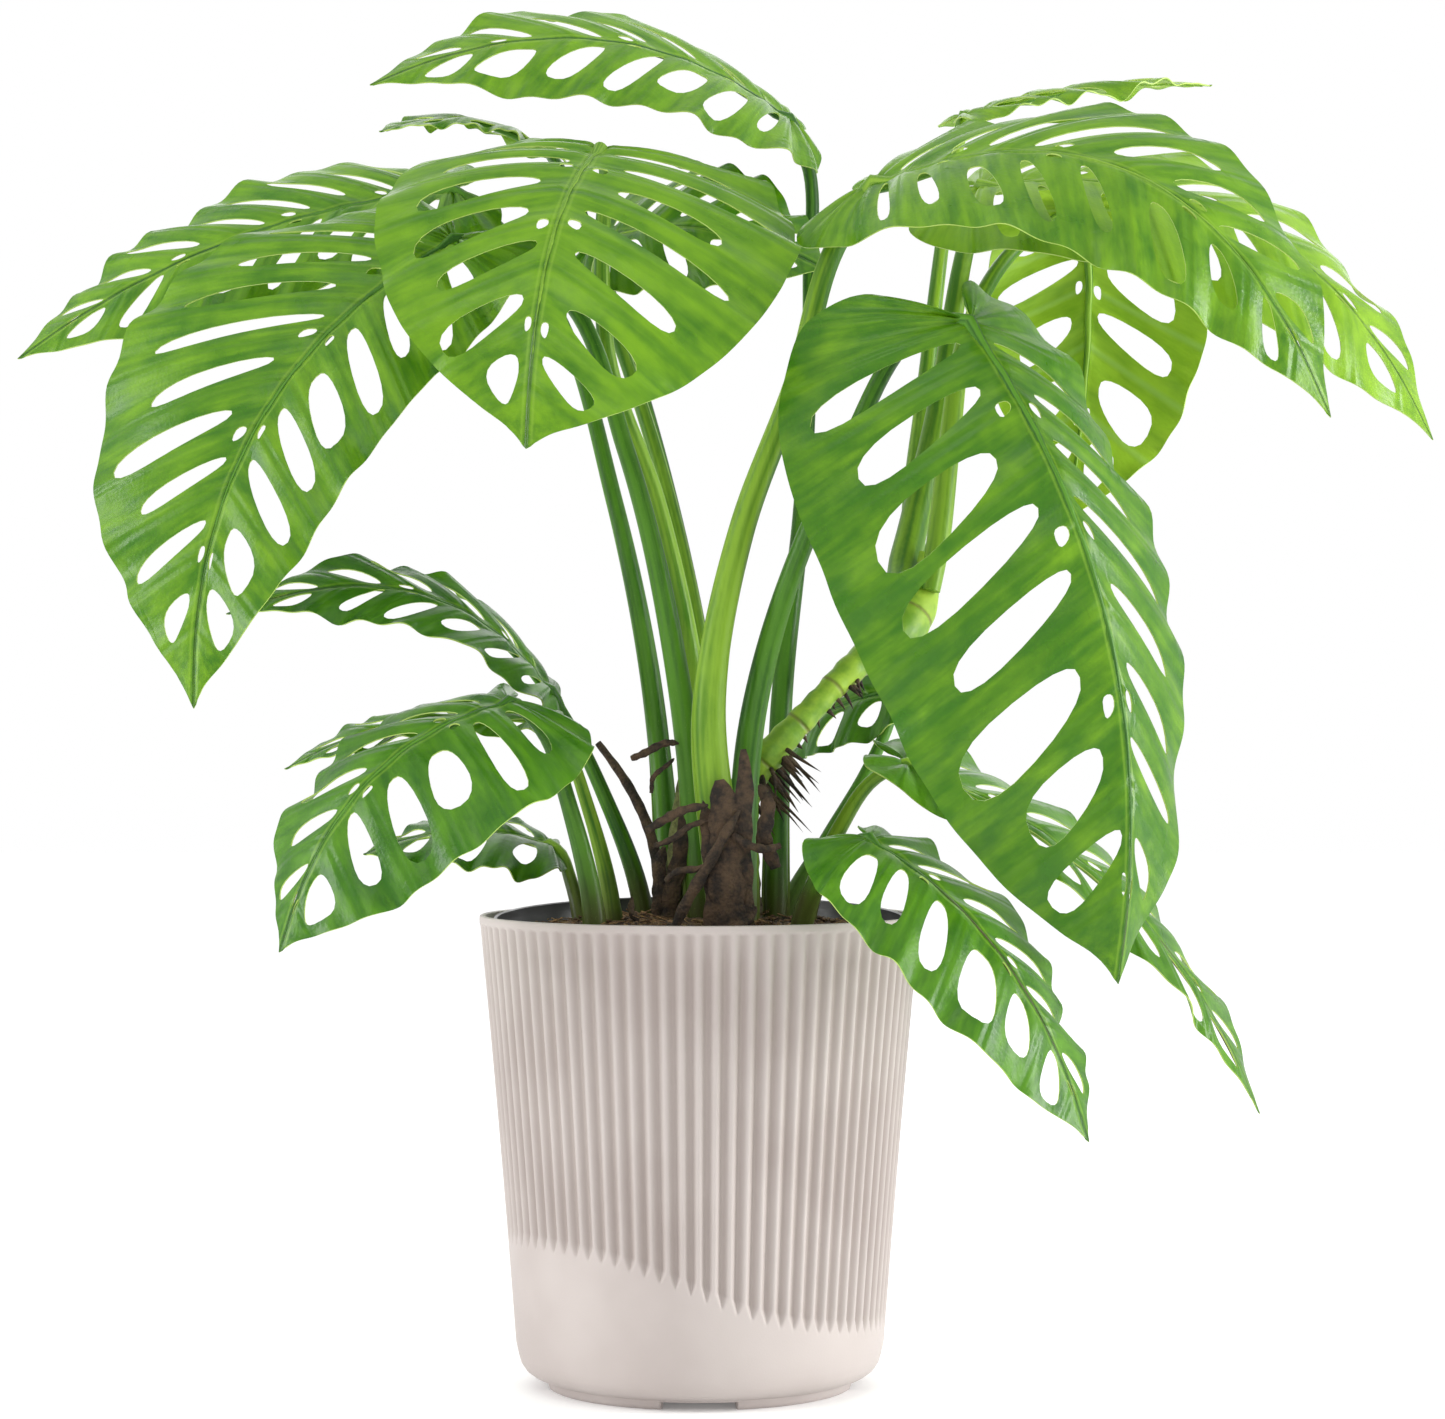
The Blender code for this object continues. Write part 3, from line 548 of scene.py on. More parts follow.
# stalk: its route.  neck, tip and face: where the blade hangs and which way its upper side looks.
# bow lifts the midrib's middle to the face and sway moves it to the leaf's own right.
# widths, droop (degrees a half falls back from the face) and open (how much of the pitch between
# side veins a hole takes): the leaf's own left, then right.  stalkRadius: at its foot, then its top.
leaves = {
    "frontRight": {
        "stalk": [(17, -20, 0), (22, -26, 90), (55, -50, 185), (92, -76, 240)],
        "neck": (105, -85, 240), "tip": (160, -110, -15), "face": (0, -1, 0.1),
        "bow": 12, "sway": -25, "widths": (65, 98), "droop": (58, 4),
        "stalkRadius": (5.5, 3.2), "veins": 8, "open": (0.44, 0.66),
    },
    "leftLarge": {
        "stalk": [(0, -12, 0), (-10, -20, 110), (-30, -15, 195), (-57, -4, 260), (-85, -8, 278)],
        "neck": (-100, -15, 280), "tip": (-195, -90, 90), "face": (-0.35, -0.8, 0.45),
        "bow": 21, "sway": 24, "widths": (52, 80), "droop": (10, -2),
        "stalkRadius": (5, 3), "veins": 9, "open": (0.62, 0.46),
    },
    "centre": {
        "stalk": [(5, 5, 0), (-2, 10, 98), (-18, 14, 175), (-38, 8, 235), (-40, 4, 285), (-38, -12, 311)],
        "neck": (-40, -28, 315), "tip": (-65, -125, 188), "face": (0.05, -0.75, 0.62),
        "bow": 24, "sway": 6, "widths": (92, 74), "droop": (12, 12),
        "stalkRadius": (5, 3), "veins": 7, "open": (0.46, 0.60),
    },
    "backCentre": {
        "stalk": [(8, 42, 0), (2, 54, 98), (-14, 66, 180), (-38, 68, 255), (-48, 56, 280)],
        "neck": (-44, 46, 287), "tip": (53, 8, 270), "face": (0.1, -0.75, 0.65),
        "bow": 14, "sway": 0, "widths": (50, 36), "droop": (10, 10),
        "stalkRadius": (4.5, 2.8), "veins": 5, "open": (0.42, 0.56),
    },
    "farLeft": {
        "stalk": [(-13, 16, 0), (-20, 24, 98), (-36, 32, 177), (-63, 50, 261), (-84, 56, 292)],
        "neck": (-105, 60, 310), "tip": (-285, 34, 236), "face": (-0.25, -0.65, 0.7),
        "bow": 14, "sway": 4, "widths": (42, 45), "droop": (14, 10),
        "stalkRadius": (4.5, 2.8), "veins": 8, "open": (0.58, 0.44),
    },
    "top": {
        "stalk": [(31, 8, 0), (34, 18, 98), (42, 34, 170), (46, 52, 270), (44, 58, 325)],
        "neck": (37, 56, 340), "tip": (-135, 0, 345), "face": (-0.1, -0.55, 0.8),
        "bow": 28, "sway": 0, "widths": (42, 42), "droop": (16, 8),
        "stalkRadius": (4.5, 2.8), "veins": 7, "open": (0.60, 0.46),
    },
    "topSmall": {
        "stalk": [(11, 62, 0), (3, 74, 98), (-13, 84, 180), (-38, 80, 266), (-56, 52, 312)],
        "neck": (-64, 32, 323), "tip": (-130, -14, 324), "face": (-0.2, -0.4, 0.9),
        "bow": 9, "sway": 0, "widths": (16, 26), "droop": (8, 8),
        "stalkRadius": (3.8, 2.2), "veins": 3, "open": (0.40, 0.50),
    },
    "rightTop": {
        "stalk": [(12, -52, 0), (4, -43, 94), (17, -34, 162), (39, -32, 222), (54, -36, 274)],
        "neck": (70, -36, 300), "tip": (241, -110, 201), "face": (0.25, -0.7, 0.7), "sheath": 0.68,
        "bow": 50, "sway": -14, "widths": (58, 50), "droop": (6, 16),
        "stalkRadius": (6.5, 4.2), "veins": 8, "open": (0.58, 0.44),
    },
    "farRight": {
        "stalk": [(83, 20, 139), (84, 30, 146), (89, 44, 165), (99, 56, 208), (111, 58, 280)],
        "neck": (117, 32, 308), "tip": (300, 2, 200), "face": (0.35, -0.55, 0.75),
        "bow": 44, "sway": 0, "widths": (54, 56), "droop": (8, 16),
        "stalkRadius": (6, 3.6), "rooted": False, "tone": "fresh", "veins": 7, "open": (0.54, 0.44),
    },
    "rightBack": {
        "stalk": [(88, 37, 140), (90, 46, 147), (90, 64, 170), (96, 82, 223), (107, 94, 310)],
        "neck": (114, 101, 348), "tip": (226, 134, 366), "face": (-0.2, -0.15, 1),
        "bow": 6, "sway": 0, "widths": (26, 28), "droop": (8, 8),
        "stalkRadius": (4.5, 2.6), "rooted": False, "tone": "fresh", "veins": 5, "open": (0.42, 0.50),
    },
    "backRight": {
        "stalk": [(95, 22, 139), (98, 24, 155), (104, 32, 202), (110, 42, 241), (132, 70, 284)],
        "neck": (166, 93, 308), "tip": (158, 96, 170), "face": (0, 1, 0.1),
        "bow": 8, "sway": 5, "widths": (45, 52), "droop": (8, 10),
        "stalkRadius": (4.5, 2.8), "rooted": False, "tone": "fresh", "veins": 5, "open": (0.56, 0.66),
    },
    "leftMid": {
        "stalk": [(-23, 24, 0), (-41, 20, 57), (-51, 20, 78), (-58, 18, 90)],
        "neck": (-62, 16, 98), "tip": (-190, -30, 128), "face": (0.1, -0.55, 0.85),
        "bow": 30, "sway": 0, "widths": (24, 30), "droop": (12, 10),
        "stalkRadius": (4, 2.5), "tone": "deep", "veins": 6, "open": (0.40, 0.52),
    },
    "leftLow": {
        "stalk": [(-42, -25, 0), (-53, -34, 54), (-61, -46, 79), (-70, -58, 90)],
        "neck": (-75, -64, 93), "tip": (-160, -108, -3), "face": (-0.25, -0.7, 0.67),
        "bow": 22, "sway": 6, "widths": (58, 43), "droop": (10, 24),
        "stalkRadius": (4.2, 2.6), "tone": "deep", "veins": 6, "open": (0.62, 0.48),
    },
    "leftInner": {
        "stalk": [(-35, -5, 0), (-46, -12, 52), (-55, -22, 77)],
        "neck": (-61, -28, 86), "tip": (-165, -44, 66), "face": (-0.1, -0.3, 0.95),
        "bow": 10, "sway": 0, "widths": (17, 22), "droop": (10, 8),
        "stalkRadius": (3.6, 2.2), "tone": "deep", "veins": 5, "open": (0.38, 0.46),
    },
    "leftBottom": {
        "stalk": [(-49, 16, 0), (-54, 20, 20), (-58, 25, 30)],
        "neck": (-63, 29, 34), "tip": (-139, 14, 30), "face": (0, -0.35, 0.94),
        "bow": 8, "sway": 0, "widths": (30, 22), "droop": (10, 8),
        "stalkRadius": (3.6, 2.4), "tone": "deep", "veins": 3, "open": (0.42, 0.50),
    },
    "rim": {
        "stalk": [(40, -48, 0), (44, -54, 16), (50, -64, 28), (57, -77, 36)],
        "neck": (66, -92, 40), "tip": (147, -130, -73), "face": (0.45, -0.65, 0.6),
        "bow": 20, "sway": 0, "widths": (38, 44), "droop": (24, 8),
        "stalkRadius": (4.5, 2.6), "tone": "deep", "veins": 6, "open": (0.48, 0.64),
    },
    "rightLow": {
        "stalk": [(43, 19, 0), (49, 11, 22), (57, 0, 41), (73, -10, 63)],
        "neck": (84, -13, 68), "tip": (228, -6, -75), "face": (0.6, -0.35, 0.7),
        "bow": 24, "sway": 0, "widths": (46, 26), "droop": (8, 10),
        "stalkRadius": (4.2, 2.6), "tone": "deep", "veins": 7, "open": (0.46, 0.56),
    },
    "backLow": {
        "stalk": [(35, 44, 0), (54, 50, 36), (71, 56, 65), (81, 61, 88)],
        "neck": (83, 64, 98), "tip": (35, 102, 71), "face": (-0.6, -0.5, 0.5),
        "bow": 8, "sway": 0, "widths": (22, 24), "droop": (8, 8),
        "stalkRadius": (3.8, 2.4), "tone": "deep", "veins": 3, "open": (0.42, 0.50),
    },
}


def holes(leaf, side):  # one long hole between each two side veins, and small ones beside the midrib
    pitch = (veins["last"] - veins["first"]) / leaf["veins"]
    made = []
    for k in range(leaf["veins"]):
        swing = math.sin(1.9 * k + 2.3 * side + leaf["veins"])
        middle = veins["first"] + (k + 0.5 + 0.06 * swing) * pitch
        inner = 0.15 + 0.06 * swing
        outer = 0.79 + 0.09 * math.sin(2.7 * k + side)
        width = pitch * leaf["open"][side > 0] * (1 + 0.25 * swing)
        made.append((middle, inner, middle + 0.016, outer, width))
        if k % 2:
            made.append((middle + pitch / 2, 0.05, middle + pitch / 2, 0.12, pitch * 0.25))
    return made


def grown(plan):  # a leaf's plan, with its midrib, margins and holes worked out
    neck, tip = np.array(plan["neck"], float), np.array(plan["tip"], float)
    length = np.linalg.norm(tip - neck)
    heading = (tip - neck) / length
    face = np.array(plan["face"], float)
    face = unit(face - heading * np.dot(face, heading))
    right = np.cross(heading, face)
    lift = face * plan["bow"] + right * plan["sway"]

    def rib(share):
        return neck + heading * share * length + lift * 4 * share * (1 - share)

    def margin(side, width, droop):
        out = right * side * math.cos(math.radians(droop)) - face * math.sin(math.radians(droop))
        return [tuple(rib(share) + out * width * across) for share, across in halfOutline]

    leaf = dict(plan)
    leaf["spine"] = [tuple(rib(k / 8)) for k in range(9)]
    leaf["left"] = margin(-1, plan["widths"][0], plan["droop"][0])
    leaf["right"] = margin(1, plan["widths"][1], plan["droop"][1])
    leaf["holesLeft"], leaf["holesRight"] = holes(plan, -1), holes(plan, 1)
    return leaf


# fan is the share of a blade whose side veins all start at the stalk, and sweep slants the others.
# arch lifts each half between midrib and margin; fold, roll and ruffle are heights of its waves.
blade = {
    "rows": 64, "columns": 24, "thick": 0.55, "fan": 0.22, "sweep": 1.4, "arch": 0.06,
    "fold": 1.0, "roll": 1.8, "ruffle": 2.0, "groove": 0.8, "grooveWidth": 2.2,
    "longHole": 0.3, "longPoints": 20, "shortPoints": 12,
}


def bladePlaces(leaf, a, s):  # a runs from the stalk to the tip, s from -1 at the left margin to 1
    u = np.clip((a - blade["fan"]) / (1 - blade["fan"]), 0, 1) ** blade["sweep"]
    middle = along(leaf["spine"], u)
    heading = unit(along(leaf["spine"], u + 0.02) - along(leaf["spine"], u - 0.02))
    port, starboard = along(leaf["left"], a), along(leaf["right"], a)
    up = unit(np.cross(starboard - port + heading * 1e-6, heading))
    reach = np.where((s < 0)[:, None], port, starboard) - middle
    share = np.abs(s)[:, None]
    size = np.linalg.norm(reach, axis=1)[:, None]
    rise = blade["arch"] * 4 * share * (1 - share) * size * np.minimum(1, 3 * (1 - a))[:, None]
    return middle + reach * share + up * rise, size[:, 0]


def veinNumber(leaf, a):  # whole numbers run through the holes, and halves along the veins between them
    return (a - veins["first"]) / (veins["last"] - veins["first"]) * leaf["veins"] - 0.5


def holeOutline(hole, side, count):  # an egg, blunt at both ends and widest towards the margin
    first, inner, last, outer, width = hole
    points = []
    for k in range(count):
        turn = 2 * math.pi * k / count
        q = 0.5 - 0.5 * math.copysign(abs(math.cos(turn)) ** 0.85, math.cos(turn))
        half = width / 2 * math.copysign(abs(math.sin(turn)) ** 0.75, math.sin(turn)) * (0.75 + 0.4 * q)
        points.append((first + (last - first) * q + half, side * (inner + (outer - inner) * q)))
    return points


def flatSheet(leaf):  # the blade laid out flat as (a, s), with its holes, cut into small cells
    bm = bmesh.new()
    rows, columns = blade["rows"], blade["columns"]
    edge = [k / (2 * rows) for k in range(2 * rows + 1)]
    loops = [[(a, -1) for a in edge] + [(a, 1) for a in reversed(edge)]]
    for key, side in (("holesLeft", -1), ("holesRight", 1)):
        for hole in leaf[key]:
            long = hole[3] - hole[1] > blade["longHole"]
            loops.append(holeOutline(hole, side, blade["longPoints" if long else "shortPoints"]))
    for loop in loops:
        verts = [bm.verts.new((a, s, 0)) for a, s in loop]
        for first, second in zip(verts, verts[1:] + verts[:1]):
            bm.edges.new((first, second))
    bmesh.ops.triangle_fill(bm, use_beauty=True, use_dissolve=False, edges=bm.edges)
    planes = [((k / rows, 0, 0), (1, 0, 0)) for k in range(1, rows)]
    planes += [((0, 2 * k / columns - 1, 0), (0, 1, 0)) for k in range(1, columns)]
    for place, normal in planes:
        geom = list(bm.verts) + list(bm.edges) + list(bm.faces)
        bmesh.ops.bisect_plane(bm, geom=geom, dist=1e-5, plane_co=place, plane_no=normal)
    bmesh.ops.reverse_faces(bm, faces=[face for face in bm.faces if face.normal.z > 0])
    return bm


def shapedBlade(leaf, a, s):
    base, size = bladePlaces(leaf, a, s)
    ahead, _ = bladePlaces(leaf, np.clip(a + 0.004, 0, 1), s)
    behind, _ = bladePlaces(leaf, np.clip(a - 0.004, 0, 1), s)
    inner, _ = bladePlaces(leaf, a, np.clip(s - 0.01, -1, 1))
    outer, _ = bladePlaces(leaf, a, np.clip(s + 0.01, -1, 1))
    up = unit(np.cross(outer - inner, ahead - behind))
    number = veinNumber(leaf, a)
    ribAway = np.abs(s) * size
    inside = np.clip(ribAway / 6, 0, 1)
    fold = blade["fold"] * inside * np.minimum(1, size / 25)
    height = fold * np.cos(2 * math.pi * (number - 0.5)) * np.minimum(1, 6 * (1 - a))
    height -= blade["groove"] * np.exp(-((ribAway / blade["grooveWidth"]) ** 2)) * (1 - 0.5 * a)
    side = np.sign(s)
    slow = np.sin(a * 9 + 1.7 * side + leaf["veins"]) + np.sin(a * 17 + side)
    roll = blade["roll"] * slow * s**2 * np.minimum(1, size / 40)
    height += roll * np.clip(6 * a, 0, 1) * np.clip(6 * (1 - a), 0, 1)
    wave = np.sin(a * 31 + 2.1 * side + 9) + 0.6 * np.sin(a * 67 + 1.3 * side)
    ruffle = blade["ruffle"] * wave * np.abs(s) ** 4 * np.minimum(1, size / 30)
    height += ruffle * np.clip(8 * a, 0, 1) * np.clip(8 * (1 - a), 0, 1)
    return base + up * height[:, None], number, ribAway


def madeBlade(name, node, leaf, finishes, tone):
    bm = flatSheet(leaf)
    leafPlace = bm.verts.layers.float_vector.new("leafPlace")
    leafRib = bm.verts.layers.float_vector.new("leafRib")
    verts = list(bm.verts)
    flat = np.array([v.co[:2] for v in verts])
    places, number, ribAway = shapedBlade(leaf, flat[:, 0], flat[:, 1])
    places[:, 2] += soil["top"]
    for i, v in enumerate(verts):
        v[leafPlace] = (flat[i, 0], flat[i, 1], number[i])
        v[leafRib] = (ribAway[i], tone, 0)
        v.co = places[i] * mm
    bmesh.ops.remove_doubles(bm, verts=bm.verts, dist=2e-5)
    sheet = meshObject(name, bm, finishes, 0, False)
    thick = sheet.modifiers.new("thickness", "SOLIDIFY")
    thick.thickness = blade["thick"] * mm
    thick.offset = 0
    thick.use_even_offset = False
    thick.material_offset = 1
    thick.material_offset_rim = 2
    graph = bpy.context.evaluated_depsgraph_get()
    mesh = bpy.data.meshes.new_from_object(sheet.evaluated_get(graph), depsgraph=graph)
    sheet.modifiers.clear()
    sheet.data = mesh
    mesh.set_sharp_from_angle(angle=math.radians(55))
    return ride(sheet, "leaf", node)


# the stalk runs on under the blade as its midrib; sheath is the share of it that has a wing
stalk = {
    "below": 20, "step": 5, "sides": 14, "ribRings": 30,
    "sheath": 0.44, "wingSides": 10, "wingWide": 1.35, "wingFlat": 0.14,
}


def madeStalk(name, node, leaf, finish, tone):
    start = np.array(leaf["spine"][0], float)
    way = unit(start - np.array(leaf["stalk"][-1], float))
    points = leaf["stalk"] + [tuple(start - way * 0.3)]
    rooted = leaf.get("rooted", True)
    if rooted:
        x, y, _ = points[0]
        points = [(x, y, -stalk["below"])] + points
    length = np.linalg.norm(np.diff(np.array(points, float), axis=0), axis=1).sum()
    count = int(length / stalk["step"]) + 4
    t = np.linspace(0, 1, count)
    line = along(points, t)
    thick, thin = leaf["stalkRadius"]
    radii = np.interp(
        t, (0, 0.1, 0.3, 0.55, 0.93, 0.965, 1),
        (thick, thick * 1.12, thick * 1.02, (thick + thin) / 2, thin, thin * 1.18, thin),
    )
    rib = np.linspace(0.03, 0.96, stalk["ribRings"])
    a = blade["fan"] + (1 - blade["fan"]) * rib ** (1 / blade["sweep"])
    under, _, _ = shapedBlade(leaf, a, np.zeros_like(a) + 1e-3)
    side, _, _ = shapedBlade(leaf, a, np.zeros_like(a) + 0.05)
    heading = np.gradient(under, axis=0)
    up = unit(np.cross(side - under, heading))
    thinRib = thin * (1 - rib) ** 0.9 * 0.62 + 0.35
    ribLine = under - up * (thinRib * 0.65)[:, None]
    line = np.concatenate([line, ribLine])
    radii = np.concatenate([radii, thinRib])
    share = np.concatenate([t, 1 + rib])
    line[:, 2] += soil["top"]
    bm = bmesh.new()
    layer = bm.verts.layers.float_vector.new("stalkPlace")
    rings = tube(bm, line * mm, radii * mm, stalk["sides"])
    for ring, where in zip(rings, share):
        for k, v in enumerate(ring):
            v[layer] = (where, k / stalk["sides"], tone * 0.95)
    end = leaf.get("sheath", stalk["sheath"])
    winged = [i for i in range(count) if t[i] < end]
    if rooted and len(winged) > 3:
        reach = np.array([math.sqrt(max(0.02, 1 - t[i] / end)) for i in winged])
        wide = radii[winged] * (0.5 + (stalk["wingWide"] - 0.5) * reach)
        rings = tube(
            bm, line[winged] * mm, wide * mm, stalk["wingSides"], (0.2, -1.0, 0.0), stalk["wingFlat"]
        )
        for ring, i in zip(rings, winged):
            for k, v in enumerate(ring):
                v[layer] = (share[i], k / stalk["wingSides"], 1.0)
    return ride(meshObject(name, bm, [finish], 60), "stalk", node)


print("leaves")
leafSets = {name: leafFinishes(name) for name in leafTones}
stalkGreen = stalkFinish("stalkGreen", rgb(60, 110, 14), rgb(128, 166, 44))
stalkDeep = stalkFinish("stalkDeep", rgb(32, 80, 10), rgb(78, 130, 26))
deepStalks = (
    "frontRight", "leftLarge", "farLeft", "topSmall", "top", "leftLow", "leftMid", "rim", "backLow",
)
for order, (name, plan) in enumerate(leaves.items()):
    leaf = grown(plan)
    node = "".join("_" + c.lower() if c.isupper() else c for c in name)
    title = name[0].upper() + name[1:]
    finishes = leafSets[leaf.get("tone", "ripe")]
    madeBlade("blade" + title, "blade_" + node, leaf, finishes, (order * 0.37) % 1)
    finish = stalkDeep if name in deepStalks else stalkGreen
    madeStalk("stalk" + title, "stalk_" + node, leaf, finish, (order * 0.61) % 1)


# stems

stemSides = 18
stems = {
    "left_stem": {
        "line": [(-13, -2, -22), (-11, -2, 0), (-9, -3, 28), (-7, -4, 50), (-5, -5, 63)],
        "radii": (6, 5.6, 5.2, 4.4, 3.6),
    },
    "right_stem": {
        "line": [
            (21, 0, -22), (20, 0, 0), (18, -2, 28), (17, -3, 46), (20, -5, 61), (30, -6, 73),
            (44, -4, 88), (63, 5, 107), (78, 17, 118), (84, 22, 123), (88, 26, 128),
        ],
        "radii": (6, 6.2, 6, 6.4, 7, 6.8, 5.6, 5.2, 6.2, 7.8, 9.2),
    },
    "dried_stalk": {
        "line": [
            (-42, 8, 76), (-28, 4, 56), (-20, -1, 38), (-17, -7, 20), (-18, -12, 0), (-19, -14, -16),
        ],
        "radii": (1.4, 2, 2.2, 2.2, 2, 1.8),
    },
}


def radiusAt(stem, share):
    return np.interp(share, np.linspace(0, 1, len(stem["radii"])), stem["radii"])


def madeStem(name, node, finish):
    stem = stems[node]
    count = len(stem["line"]) * 6
    t = np.linspace(0, 1, count)
    line = along(stem["line"], t)
    radii = radiusAt(stem, t) * (1 + 0.06 * np.sin(np.arange(count) * 1.9))
    line[:, 2] += soil["top"]
    bm = bmesh.new()
    layer = bm.verts.layers.float_vector.new("stalkPlace")
    rings = tube(bm, line * mm, radii * mm, stemSides)
    for i, ring in enumerate(rings):
        for k, v in enumerate(ring):
            low = max(0, (line[i][2] - v.co.z / mm) / radii[i])  # 1 on the underside
            v[layer] = (t[i], k / stemSides, low)
    return ride(meshObject(name, bm, [finish], 60), "stem", node)


# the swollen joint that the stem's own three leaves grow from
crown = {
    "line": [(74, 14, 115), (82, 20, 122), (87, 26, 130), (90, 33, 140), (92, 39, 154)],
    "radii": (8.4, 9.8, 10.6, 9.6, 5.5), "rings": 26, "sides": 20,
}

# dead sheaths and roots round the feet of the stems: route, thickness and flatness
remains = [
    ([(8, -57, 62), (10, -59, 44), (11, -60, 22), (13, -59, -3)], 7.6, 0.3),
    ([(17, -54, 74), (18, -58, 52), (17, -59, 26), (19, -57, -3)], 4.2, 0.35),
    ([(2, -52, 56), (4, -57, 40), (5, -59, 20), (4, -58, -3)], 3.6, 0.35),
    ([(16, -60, 50), (8, -64, 36), (-3, -62, 18), (-11, -57, -2)], 2.5, 0.8),
    ([(-3, -16, 52), (-7, -18, 38), (-10, -16, 22), (-13, -13, 0)], 3.8, 0.35),
    ([(-14, -9, 34), (-17, -12, 24), (-16, -13, 12), (-18, -10, -2)], 3.2, 0.35),
    ([(24, -52, 60), (27, -56, 50), (26, -57, 38), (30, -55, 27)], 3.4, 0.3),
    ([(10, -61, 42), (17, -63, 38), (24, -62, 35), (32, -58, 36)], 1.8, 0.8),
    ([(3, -59, 52), (-6, -62, 50), (-13, -62, 47), (-20, -60, 42)], 2.0, 0.8),
    ([(4, -58, 46), (-5, -60, 43), (-12, -60, 38), (-17, -58, 36)], 1.4, 0.8),
    ([(9, -60, 30), (-1, -62, 27), (-8, -60, 26), (-13, -58, 22)], 1.5, 0.8),
    ([(-8, -22, 76), (-15, -25, 76), (-22, -25, 72), (-28, -24, 70)], 1.7, 0.7),
    ([(-10, -22, 70), (-15, -24, 66), (-19, -24, 61), (-20, -24, 56)], 1.1, 0.8),
    ([(22, -56, 12), (18, -60, 6), (12, -63, 2), (7, -64, -3)], 2.2, 0.6),
    ([(-28, -20, 14), (-27, -22, 8), (-24, -22, 3), (-22, -20, -3)], 1.6, 0.6),
]

# where short roots stand out below the green stem: share along it from and to, how many, how long
rootPatches = [(0.42, 0.55, 22, 17), (0.55, 0.70, 7, 5), (0.70, 0.80, 14, 7)]


def madeTubes(name, tubes, sides):
    bm = bmesh.new()
    for line, radii, flat in tubes:
        tube(bm, np.asarray(line) * mm, np.asarray(radii) * mm, sides, (0.0, -1.0, 0.0), flat)
    return ride(meshObject(name, bm, [driedBark], 60), "stem")


def madeRemains():
    t = np.linspace(0, 1, 22)
    tubes = []
    for k, (route, thick, flat) in enumerate(remains):
        line = along(route, t) + np.outer(np.sin(9 * t + k), (0.5, 0.4, 0.0))
        line[:, 2] += soil["top"]
        taper = np.interp(t, (0, 0.12, 0.6, 1), (0.25, 0.8, 1.0, 0.75))
        tubes.append((line, thick * taper * (1 + 0.12 * np.sin(t * 31 + k)), flat))
    return madeTubes("deadSheaths", tubes, 10)


def madeRoots():
    stem = stems["right_stem"]
    t = np.linspace(0, 1, 7)
    tubes = []
    for first, last, count, longest in rootPatches:
        for place in np.linspace(first, last, count):
            start, ahead = along(stem["line"], (place, place + 0.01))
            turn = rng.uniform(-1.0, 1.0)
            side = unit(np.cross(ahead - start, (0.0, 0.0, 1.0)))
            down = unit(np.cross(ahead - start, side))
            way = unit(down * -math.copysign(1, down[2]) * math.cos(turn) + side * math.sin(turn))
            long = longest * rng.uniform(0.45, 1)
            bend = [rng.uniform(least, most) for least, most in ((-0.4, 0.6), (-0.3, 0.2), (-0.9, -0.2))]
            out = radiusAt(stem, place) * 0.7 + np.outer(t, [long])
            line = start + way * out + np.outer(t**2 * long, bend)
            line[:, 2] += soil["top"]
            tubes.append((line, rng.uniform(0.8, 1.5) * (1.04 - t**2.2), 0.9))
    return madeTubes("stemRoots", tubes, 7)


def madeCrown(finish):
    t = np.linspace(0, 1, crown["rings"])
    line = along(crown["line"], t)
    line[:, 2] += soil["top"]
    bm = bmesh.new()
    layer = bm.verts.layers.float_vector.new("stalkPlace")
    rings = tube(bm, line * mm, radiusAt(crown, t) * mm, crown["sides"])
    for i, ring in enumerate(rings):
        for k, v in enumerate(ring):
            v[layer] = (0.6 + 0.3 * t[i], k / crown["sides"], 0)
    return ride(meshObject("stemCrown", bm, [finish], 60), "stem")


print("stems")
stemBark = barkFinish("stemBark", rgb(70, 74, 38), rgb(126, 130, 74), 120.0)
driedBark = barkFinish("driedBark", rgb(26, 19, 13), rgb(78, 60, 42), 150.0)
madeStem("leftStem", "left_stem", stemBark)
greenStem = greenStemFinish()
madeStem("rightStem", "right_stem", greenStem)
madeStem("driedStalk", "dried_stalk", driedBark)
madeCrown(greenStem)
madeRemains()
madeRoots()


# room, light and camera

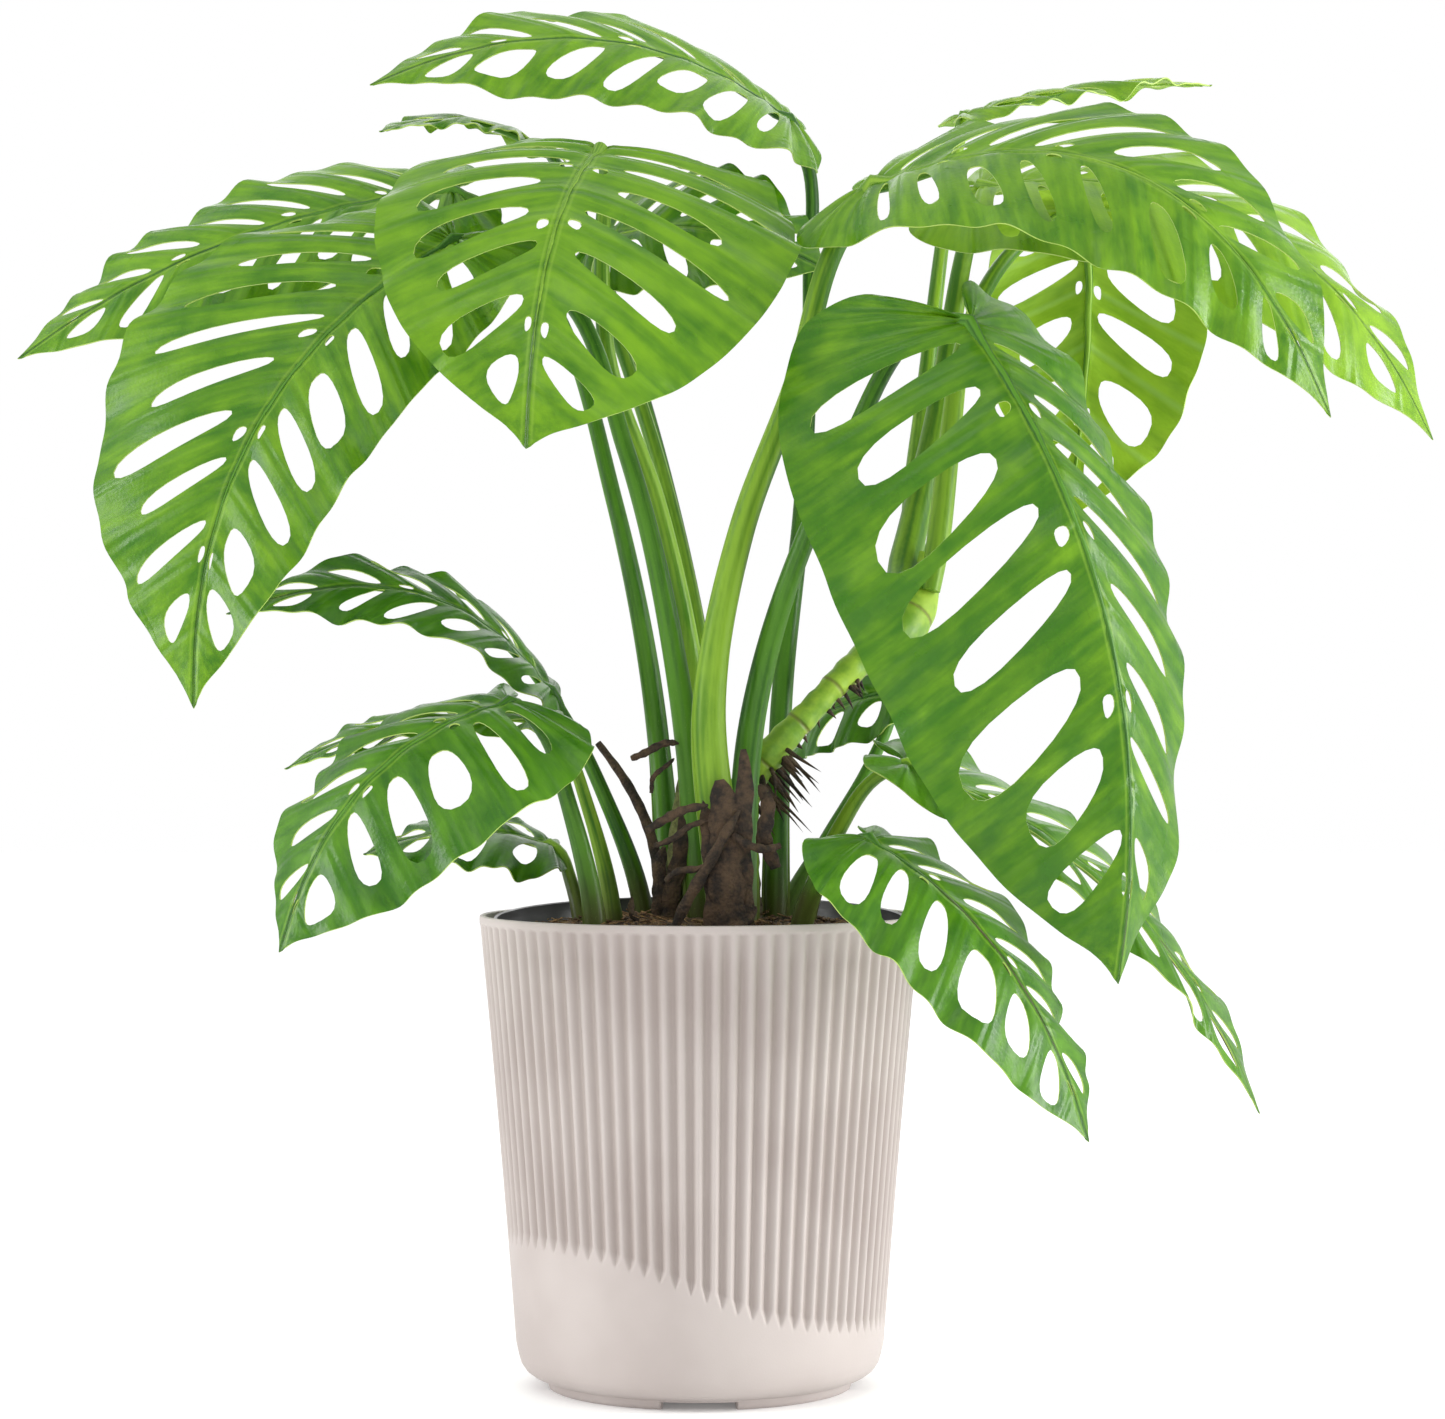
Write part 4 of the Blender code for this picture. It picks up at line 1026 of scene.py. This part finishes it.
room = {"floor": 6.0, "level": 0.93, "glow": 0.1, "sky": 1.0}
lamps = {
    "leftLight": {"place": (-1.9, -0.5, 0.8), "target": (0, 0, 0.22), "size": (0.5, 1.5), "power": 20},
    "rightLight": {"place": (1.9, -0.35, 0.6), "target": (0, 0, 0.2), "size": (0.4, 1.4), "power": 34},
    "topLight": {"place": (-0.2, -1.3, 1.6), "target": (0, 0, 0.3), "size": (1.0, 0.7), "power": 4},
    "backLight": {"place": (0.2, 1.9, 1.3), "target": (0, 0, 0.35), "size": (1.8, 1.0), "power": 9},
}
view = {"place": (0.0092, -1.623, 0.2757), "sensor": 36, "lens": 98.9}


def stageFloor():
    bm = bmesh.new()
    bmesh.ops.create_grid(bm, x_segments=1, y_segments=1, size=room["floor"])
    f = Finish("floorFinish")
    finish = f.surface(
        Base_Color=(room["level"],) * 3 + (1,), Roughness=0.9, Specular_IOR_Level=0.1,
        Emission_Color=(1, 1, 1, 1), Emission_Strength=room["glow"],
    )
    meshObject("stageFloor", bm, [finish], 0)


def lamp(name, place, target, size, power):
    data = bpy.data.lights.new(name, "AREA")
    data.shape = "RECTANGLE"
    data.size, data.size_y = size
    data.energy = power
    made = bpy.data.objects.new(name, data)
    bpy.context.scene.collection.objects.link(made)
    made.location = place
    made.rotation_euler = (Vector(target) - Vector(place)).to_track_quat("-Z", "Y").to_euler()


def studio():
    world = bpy.data.worlds.new("studioWorld")
    bpy.context.scene.world = world
    world.use_nodes = True
    back = world.node_tree.nodes["Background"]
    back.inputs["Color"].default_value = (1, 1, 1, 1)
    back.inputs["Strength"].default_value = room["sky"]
    for name, plan in lamps.items():
        lamp(name, **plan)
    bpy.context.scene.view_settings.view_transform = "Standard"


def camera():
    data = bpy.data.cameras.new("camera")
    data.sensor_width = view["sensor"]
    data.lens = view["lens"]
    made = bpy.data.objects.new("camera", data)
    bpy.context.scene.collection.objects.link(made)
    made.location = view["place"]
    made.rotation_euler = (math.pi / 2, 0, 0)
    bpy.context.scene.camera = made


print("room")
stageFloor()
studio()
camera()
